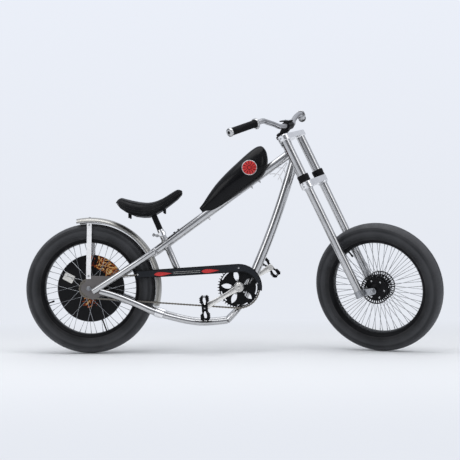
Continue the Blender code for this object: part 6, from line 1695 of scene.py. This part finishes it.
def build_guard():
    """Chain guard with its slate face, two flame stripes, pinstripes and screws."""
    dress("chain_guard", guard_black, 0.0006)
    outer, inner, rear_top, rear_low = guard_curves()
    face = shrunk([rear_top] + outer + inner[::-1] + [rear_low], GUARD_FACE_INSET)
    make("guard_face_panel", outward_face(face, GUARD_OUTER_Y, GUARD_FACE_THICKNESS), slate, "frame")
    lean = math.atan2(outer[0][1] - rear_top[1], outer[0][0] - rear_top[0])
    stripes = bmesh.new()
    borders = bmesh.new()
    for x, z in GUARD_STRIPES:
        border = lens_outline(x, z, *STRIPE_BORDER_HALF_SIZE, lean)
        add(borders, outward_face(border, GUARD_OUTER_Y + GUARD_FACE_THICKNESS, 0.0002))
        add(stripes, outward_face(lens_outline(x, z, *STRIPE_HALF_SIZE, lean), GUARD_OUTER_Y + 0.0006, 0.0004))
    make("guard_flame_stripes", stripes, red_enamel, "frame")
    make("guard_stripe_borders", borders, guard_black, "frame")
    lines = bmesh.new()
    for rise in (-PINSTRIPE_SPREAD, PINSTRIPE_SPREAD):
        ends = [at(x, -GUARD_OUTER_Y - 0.0006, z + rise) for x, z in GUARD_PINSTRIPE]
        add(lines, tube(ends, 0.0004, 6))
    make("guard_pinstripes", lines, pale_print, "frame")
    screws = bmesh.new()
    for x, z in GUARD_SCREWS:
        place = Matrix.Translation(at(x, -GUARD_OUTER_Y - 0.0005, z)) @ spin(math.pi / 2, "X")
        add(screws, button_screw(*GUARD_SCREW), place)
    make("guard_screws", screws, chrome, "frame")


# Steering

def build_fork():
    """Legs with their seals, caps and bumpers, axle tips, crowns with bosses and screws, and the steerer."""
    for side_name, sign in SIDES.items():
        place = FORK @ shift(LEG_OFFSET, sign * LEG_HALF_SPREAD)
        leg = lathe([(0.0, LEG_FOOT_HEIGHT), (LOWER_LEG_RADIUS - 0.001, LEG_FOOT_HEIGHT),
                     (LOWER_LEG_RADIUS, LEG_FOOT_HEIGHT + 0.001), (LOWER_LEG_RADIUS, LOWER_CROWN_HEIGHT - 0.012),
                     (UPPER_LEG_RADIUS, LOWER_CROWN_HEIGHT - 0.010), (UPPER_LEG_RADIUS, TOP_CROWN_TOP),
                     (0.0, TOP_CROWN_TOP)], 56)
        make(f"fork_leg_{side_name}_chrome", leg, fork_chrome, "steering", place, [f"fork_leg_{side_name}"])
        seal = washer(LOWER_LEG_RADIUS, UPPER_LEG_RADIUS + 0.0024, 0.007, 0.0010, 48, LOWER_CROWN_HEIGHT - 0.0078)
        make(f"fork_seal_{side_name}", seal, alloy, "steering", place)
        cap = lathe([(0.0, TOP_CROWN_TOP), (UPPER_LEG_RADIUS - 0.001, TOP_CROWN_TOP),
                     (UPPER_LEG_RADIUS - 0.0015, TOP_CROWN_TOP + 0.002), (0.0120, TOP_CROWN_TOP + 0.0034),
                     (0.0085, TOP_CROWN_TOP + 0.0034), (0.0080, TOP_CROWN_TOP + 0.0014),
                     (0.0, TOP_CROWN_TOP + 0.0014)], 48)
        make(f"fork_cap_{side_name}", cap, satin_black, "steering", place)
        collar = lathe([(UPPER_LEG_RADIUS, 0.0003), (COLLAR_RADIUS - 0.0012, 0.0003), (COLLAR_RADIUS, 0.0018),
                        (COLLAR_RADIUS, 0.0085), (COLLAR_RADIUS - 0.0010, 0.0095), (COLLAR_RADIUS - 0.0010, 0.0125),
                        (COLLAR_RADIUS, 0.0135), (COLLAR_RADIUS, COLLAR_HEIGHT - 0.0020),
                        (COLLAR_RADIUS - 0.0012, COLLAR_HEIGHT), (UPPER_LEG_RADIUS, COLLAR_HEIGHT)], 48, closed=True)
        make(f"fork_bumper_{side_name}", collar, moulded_black, "steering", place @ shift(z=LOWER_CROWN_TOP),
             [f"fork_collar_{side_name}"])
        dress(f"fork_tip_{side_name}", nut_steel, 0.0010)
    for name in ("top_crown", "lower_crown"):
        dress(name, crown_metal, 0.0022)
    for name, low, high in (("top", TOP_CROWN_HEIGHT - 0.003, TOP_CROWN_TOP + 0.001),
                            ("lower", LOWER_CROWN_HEIGHT - 0.004, LOWER_CROWN_TOP + 0.0002)):
        for side_name, sign in SIDES.items():
            boss = washer(UPPER_LEG_RADIUS - 0.002, CROWN_LOBE_RADIUS + 0.0015, high - low, 0.003, 56, low)
            make(f"{name}_crown_boss_{side_name}", boss, crown_metal, "steering",
                 FORK @ shift(LEG_OFFSET, sign * LEG_HALF_SPREAD))
    bolts = bmesh.new()
    for height in ((TOP_CROWN_HEIGHT + TOP_CROWN_TOP) / 2, LOWER_CROWN_HEIGHT + 0.007, LOWER_CROWN_TOP - 0.007):
        for sign in (-1, 1):
            spot = shift(LEG_OFFSET - 0.004, sign * (LEG_HALF_SPREAD + 0.0240), height)
            add(bolts, button_screw(*CROWN_SCREW), spot @ spin(-sign * math.pi / 2, "X"))
    make("crown_pinch_bolts", bolts, nut_steel, "steering", FORK)
    dress("steerer", nut_steel, 0.0004)


NECK_CORNERS = [(eased(math.cos(turn), 0.5), eased(math.sin(turn), 0.5)) for turn in ring_turns(24)]


def build_stem():
    """Post with its ribbed ring, and the block whose level lid clamps the handlebar."""
    clamp = FORK @ shift(BAR_FORWARD, 0.0, BAR_CLAMP_HEIGHT)
    across = spin(-math.pi / 2, "X")
    block = pin(STEM_POST_RADIUS, STEM_POST_HEIGHT, 0.0015, 48, TOP_CROWN_TOP + 0.0003)
    add(block, pin(STEM_CLAMP_RADIUS, 2 * STEM_CLAMP_HALF_LENGTH, 0.0015, 48, -STEM_CLAMP_HALF_LENGTH),
        FORK.inverted() @ clamp @ across)
    neck = []
    climb = BAR_CLAMP_HEIGHT - TOP_CROWN_TOP - STEM_NECK_FOOT
    for share in (0.0, 0.25, 0.5, 0.75, 1.0):
        half = STEM_BLOCK_HALF_WIDTH - 0.003 * math.sin(math.pi * share)
        middle = Vector((BAR_FORWARD * share, 0.0, TOP_CROWN_TOP + STEM_NECK_FOOT + climb * share))
        height = 0.0105 + 0.0055 * share
        neck.append([middle + Vector((-height * 0.55 * sine, half * cosine, height * sine))
                     for cosine, sine in NECK_CORNERS])
    add(block, loft(neck))
    make("stem_block", block, satin_black, "steering", FORK, ["stem"])
    lid = prism(rounded_outline(STEM_LID_LENGTH, 2 * STEM_LID_HALF_WIDTH, 0.004), 0.0, STEM_LID_TOP)
    level = clamp @ spin(RAKE, "Y") @ shift(-STEM_LID_LENGTH * 0.16, 0.0, STEM_CLAMP_RADIUS - 0.0015)
    make("stem_lid", lid, satin_black, "steering", level)
    bolts = bmesh.new()
    for forward in STEM_BOLT_PLACES:
        for sign in (-1, 1):
            add(bolts, button_screw(*STEM_SCREW), shift(forward, sign * STEM_BOLT_Y, STEM_LID_TOP))
    make("stem_bolts", bolts, nut_steel, "steering", level)
    ring = washer(STEM_POST_RADIUS + 0.0003, HEADSET_RING_RADIUS, 0.0135, 0.0012, 48, TOP_CROWN_TOP + 0.0014)
    for turn in ring_turns(HEADSET_RIBS):
        rib = pin(0.0011, 0.0105, 0.0005, 8, TOP_CROWN_TOP + 0.0029)
        add(ring, rib, Matrix.Translation(wheel_point(HEADSET_RING_RADIUS, turn, 0.0)))
    make("headset_ring", ring, moulded_black, "steering", FORK)
    cap = lathe([(0.0, 0.0), (0.0150, 0.0), (0.0140, 0.0024), (0.0060, 0.0034), (0.0, 0.0034)], 40)
    make("stem_top_cap", cap, alloy, "steering", FORK @ shift(z=TOP_CROWN_TOP + 0.0243))


def bar_path():
    """Knots from the stem to the start of the left grip, and the grip's line."""
    rise_top = BAR_CLAMP_HEIGHT + BAR_RISE
    knots = [
        Vector((BAR_FORWARD, 0.0, BAR_CLAMP_HEIGHT)),
        Vector((BAR_FORWARD, STEM_CLAMP_HALF_LENGTH + BAR_RADIUS / 2, BAR_CLAMP_HEIGHT)),
    ]
    for forward, across, rise in BAR_SHARES:
        knots.append(Vector((BAR_FORWARD * forward, BAR_SHOULDER_Y * across, BAR_CLAMP_HEIGHT + BAR_RISE * rise)))
    knots.append(Vector((BAR_SHOULDER_FORWARD, BAR_SHOULDER_Y, rise_top)))
    along = Vector((-math.sin(BAR_SWEEP), math.cos(BAR_SWEEP), 0.0))
    return knots, along, knots[-1] + along * BAR_GRIP_STEP


def build_handlebar():
    """Bent tube with both grips."""
    knots, along, grip_start = bar_path()
    half = knots[:1] + smooth_line(knots[1:] + [grip_start], 8)
    half.append(grip_start + along * (GRIP_COLLAR_LENGTH + GRIP_LENGTH))
    whole = [Vector((point.x, -point.y, point.z)) for point in reversed(half[1:])] + half
    make("handlebar_tube", tube(whole, BAR_RADIUS, 28), bar_metal, "steering", FORK, ["handlebar"])
    for side_name, sign in SIDES.items():
        start = Vector((grip_start.x, sign * grip_start.y, grip_start.z))
        line = Vector((along.x, sign * along.y, along.z))
        place = FORK @ along_line(start, start + line)
        build_grip(side_name, place)


def build_grip(side_name, place):
    """Clamp collar with its two bolts, ribbed rubber sleeve and chromed end cap."""
    inner = BAR_RADIUS + 0.0003
    full = GRIP_COLLAR_RADIUS + 0.0022
    collar = lathe([(inner, 0.0), (full - 0.003, 0.0), (full - 0.001, 0.0008), (full, 0.0022),
                    (full, 0.0050), (full - 0.0012, 0.0058), (full - 0.0012, 0.0082), (full, 0.0090),
                    (full, GRIP_COLLAR_LENGTH - 0.0018), (full - 0.001, GRIP_COLLAR_LENGTH - 0.0003),
                    (inner, GRIP_COLLAR_LENGTH - 0.0003)], 40, closed=True)
    for turn in (-0.3, 0.3):
        bolt_place = spin(turn) @ shift(0.0, -full, 0.0070) @ spin(math.pi / 2, "Y")
        add(collar, pin(0.0036, 0.0120, 0.0010, 20, -0.0060), bolt_place)
    make(f"grip_clamp_{side_name}", collar, chrome, "steering", place, [f"grip_collar_{side_name}"])
    flange = GRIP_FLANGE_RADIUS - 0.0020
    profile = [(inner, 0.0), (flange - 0.0008, 0.0), (flange, 0.0010), (flange - 0.0004, 0.0035),
               (GRIP_RADIUS + 0.0010, 0.0065)]
    pitch = (GRIP_LENGTH - 0.012) / GRIP_RIBS
    for index in range(GRIP_RIBS):
        low = 0.0080 + pitch * index
        profile += [(GRIP_RADIUS - 0.0006, low), (GRIP_RADIUS + 0.0003, low + pitch * 0.28),
                    (GRIP_RADIUS + 0.0003, low + pitch * 0.62), (GRIP_RADIUS - 0.0006, low + pitch * 0.88)]
    profile += [(GRIP_RADIUS, GRIP_LENGTH - 0.0020), (GRIP_RADIUS - 0.001, GRIP_LENGTH - 0.0004),
                (inner, GRIP_LENGTH - 0.0004)]
    sleeve = lathe(profile, 36, closed=True)
    make(f"grip_sleeve_{side_name}", sleeve, moulded_black, "steering", place @ shift(z=GRIP_COLLAR_LENGTH),
         [f"grip_{side_name}"])
    cap = lathe([(0.0, 0.0003), (GRIP_CAP_RADIUS - 0.0006, 0.0003), (GRIP_CAP_RADIUS, 0.0010),
                 (GRIP_CAP_RADIUS, 0.0062), (GRIP_CAP_RADIUS * 0.93, 0.0088), (GRIP_CAP_RADIUS * 0.70, GRIP_CAP_LENGTH),
                 (GRIP_CAP_RADIUS * 0.42, GRIP_CAP_LENGTH), (GRIP_CAP_RADIUS * 0.38, GRIP_CAP_LENGTH - 0.004),
                 (0.0, GRIP_CAP_LENGTH - 0.004)], 40)
    end = place @ shift(z=GRIP_COLLAR_LENGTH + GRIP_LENGTH)
    make(f"grip_end_{side_name}", cap, chrome, "steering", end, [f"grip_cap_{side_name}"])
    plug = pin(GRIP_CAP_RADIUS * 0.37, 0.0012, 0.0003, 6, GRIP_CAP_LENGTH - 0.0042)
    make(f"grip_plug_{side_name}", plug, moulded_black, "steering", end)


def build_small_fittings():
    """Wire web behind the head tube and the brake's arm."""
    # The web wires' pale flat finish is a painted reflection of their chrome
    dress("web_gusset", wire_painted_reflection)
    dress("coaster_brake_arm", nut_steel, 0.0005)


# Studio

CAMERA_DISTANCE = 3.839
CAMERA_X = 0.6043
CAMERA_Z = 0.3843
CAMERA_PITCH = math.radians(2.116)
CAMERA_ROLL = math.radians(-0.49)
FOCAL_PIXELS = 883.9
FRAME_PIXELS = 460
SENSOR_WIDTH = 36.0
FLOOR_RADIUS = 60.0
FLOOR_GAP = 0.0002
FLOOR_FADE_START = 0.45
FLOOR_FADE_END = 2.2
FLOOR_FADE_SHAPE = (0.5, 1.0, 1.0)
SKY_TONE = (0.97, 0.985, 1.0, 1.0)
BACKGROUND_LOW = (0.795, 0.825, 0.888, 1.0)
BACKGROUND_HIGH = (0.84, 0.875, 0.955, 1.0)
LIGHT_FROM_SKY = 0.62
BACKGROUND_CLIMB = 0.35
GLOSS_IN_FRONT = 0.55
GLOSS_FADE = (-0.75, -0.10)
GLOSS_BY_HEIGHT = ((0.0, 0.75), (0.44, 0.62), (0.50, 0.22), (0.56, 0.16), (0.62, 0.55), (0.80, 0.85), (1.0, 1.0))

# Name, place, aim, size and power of each lamp
LAMPS = (
    ("soft_top", (0.2, -0.6, 2.4), (0.36, 0.0, -0.3), (3.2, 1.8), 36.0),
    ("soft_left", (-2.4, -2.2, 1.4), (0.3, 0.0, -0.2), (1.6, 1.6), 18.0),
    ("soft_right", (3.0, -1.8, 1.2), (0.4, 0.0, -0.2), (1.2, 1.6), 10.0),
)


def build_camera():
    """Camera at the place that was fitted to the photograph."""
    data = bpy.data.cameras.new("photo_camera")
    data.sensor_width = SENSOR_WIDTH
    data.lens = SENSOR_WIDTH * FOCAL_PIXELS / FRAME_PIXELS
    data.clip_start = 0.05
    data.clip_end = 200.0
    camera = bpy.data.objects.new("photo_camera", data)
    bpy.context.scene.collection.objects.link(camera)
    camera.matrix_world = (Matrix.Translation(at(CAMERA_X, -CAMERA_DISTANCE, CAMERA_Z))
                           @ spin(math.pi / 2 + CAMERA_PITCH, "X") @ spin(CAMERA_ROLL))
    bpy.context.scene.camera = camera


def build_floor():
    """Pale seamless floor that fades into the background far off."""
    shape = lathe([(0.0, 0.0), (FLOOR_RADIUS, 0.0)], 64)
    mesh = bpy.data.meshes.new("studio_floor")
    shape.to_mesh(mesh)
    shape.free()
    floor = bpy.data.objects.new("studio_floor", mesh)
    bpy.context.scene.collection.objects.link(floor)
    floor.location = at(CAMERA_X, 0.0, 0.0)
    floor.location.z = cad_low.z - FLOOR_GAP
    finish = bpy.data.materials.new("floor_paper")
    finish.use_nodes = True
    tree = finish.node_tree
    shader = tree.nodes["Principled BSDF"]
    shader.inputs["Base Color"].default_value = (*FLOOR_TONE, 1.0)
    shader.inputs["Roughness"].default_value = 0.7
    shader.inputs["Specular IOR Level"].default_value = 0.2
    glow = tree.nodes.new("ShaderNodeEmission")
    glow.inputs["Color"].default_value = BACKGROUND_LOW
    spot = vector_node(tree, "MULTIPLY", object_point(tree), FLOOR_FADE_SHAPE)
    reach = vector_node(tree, "LENGTH", spot)
    blend = tree.nodes.new("ShaderNodeMixShader")
    tree.links.new(range_node(tree, reach, FLOOR_FADE_START, FLOOR_FADE_END, smooth=True), blend.inputs["Fac"])
    tree.links.new(shader.outputs[0], blend.inputs[1])
    tree.links.new(glow.outputs[0], blend.inputs[2])
    tree.links.new(blend.outputs[0], tree.nodes["Material Output"].inputs["Surface"])
    mesh.materials.append(finish)


def build_world():
    """Even daylight for the surfaces, and the studio's pale walls for the eye and for gloss."""
    world = bpy.data.worlds.new("studio")
    bpy.context.scene.world = world
    world.use_nodes = True
    tree = world.node_tree
    output = tree.nodes["World Output"]
    plain = tree.nodes["Background"]
    plain.inputs["Color"].default_value = SKY_TONE
    plain.inputs["Strength"].default_value = LIGHT_FROM_SKY
    place = tree.nodes.new("ShaderNodeTexCoord")
    parts = tree.nodes.new("ShaderNodeSeparateXYZ")
    tree.links.new(place.outputs["Generated"], parts.inputs[0])
    wall = new_node(tree, "ShaderNodeMix", data_type="RGBA")
    wall.inputs["A"].default_value = BACKGROUND_LOW
    wall.inputs["B"].default_value = BACKGROUND_HIGH
    tree.links.new(range_node(tree, parts.outputs["Z"], 0.0, BACKGROUND_CLIMB), wall.inputs["Factor"])
    seen = tree.nodes.new("ShaderNodeBackground")
    tree.links.new(wall.outputs["Result"], seen.inputs["Color"])
    height = math_node(tree, "ADD", math_node(tree, "MULTIPLY", parts.outputs["Z"], 0.5), 0.5)
    dim = ramp_node(tree, height, [(spot, (grey, grey, grey)) for spot, grey in GLOSS_BY_HEIGHT])
    front = range_node(tree, parts.outputs["Y"], *GLOSS_FADE, GLOSS_IN_FRONT, 1.0)
    rays = tree.nodes.new("ShaderNodeLightPath")
    gloss = math_node(tree, "MULTIPLY", dim, front)
    gloss = math_node(tree, "MULTIPLY", gloss, rays.outputs["Is Glossy Ray"])
    direct = math_node(tree, "ADD", rays.outputs["Is Camera Ray"], rays.outputs["Is Transmission Ray"])
    tree.links.new(math_node(tree, "ADD", gloss, direct), seen.inputs["Strength"])
    pale = math_node(tree, "ADD", direct, rays.outputs["Is Glossy Ray"])
    blend = tree.nodes.new("ShaderNodeMixShader")
    tree.links.new(math_node(tree, "MINIMUM", pale, 1.0), blend.inputs["Fac"])
    tree.links.new(plain.outputs[0], blend.inputs[1])
    tree.links.new(seen.outputs[0], blend.inputs[2])
    tree.links.new(blend.outputs[0], output.inputs["Surface"])


def build_lamp(name, spot, aim, size, power):
    """Soft oblong lamp that looks at its aim."""
    data = bpy.data.lights.new(name, "AREA")
    data.shape = "RECTANGLE"
    data.size, data.size_y = size
    data.energy = power
    lamp = bpy.data.objects.new(name, data)
    bpy.context.scene.collection.objects.link(lamp)
    lamp.location = spot
    lamp.rotation_euler = (Vector(aim) - Vector(spot)).to_track_quat("-Z", "Y").to_euler()


def build_studio():
    """Camera, world, floor and lamps at a plain level."""
    bpy.context.scene.view_settings.view_transform = "Standard"
    build_camera()
    build_world()
    build_floor()
    for lamp in LAMPS:
        build_lamp(*lamp)


def build_bicycle():
    """All pieces of the bicycle."""
    build_wheels()
    build_drive()
    build_head_tube()
    build_main_tubes()
    build_rear_triangle()
    build_cradle()
    build_seat_mast()
    build_fender()
    build_tank()
    build_badges()
    build_tank_clips()
    build_saddle()
    build_guard()
    build_fork()
    build_stem()
    build_handlebar()
    build_small_fittings()


build_bicycle()
build_studio()
bpy.context.view_layer.update()
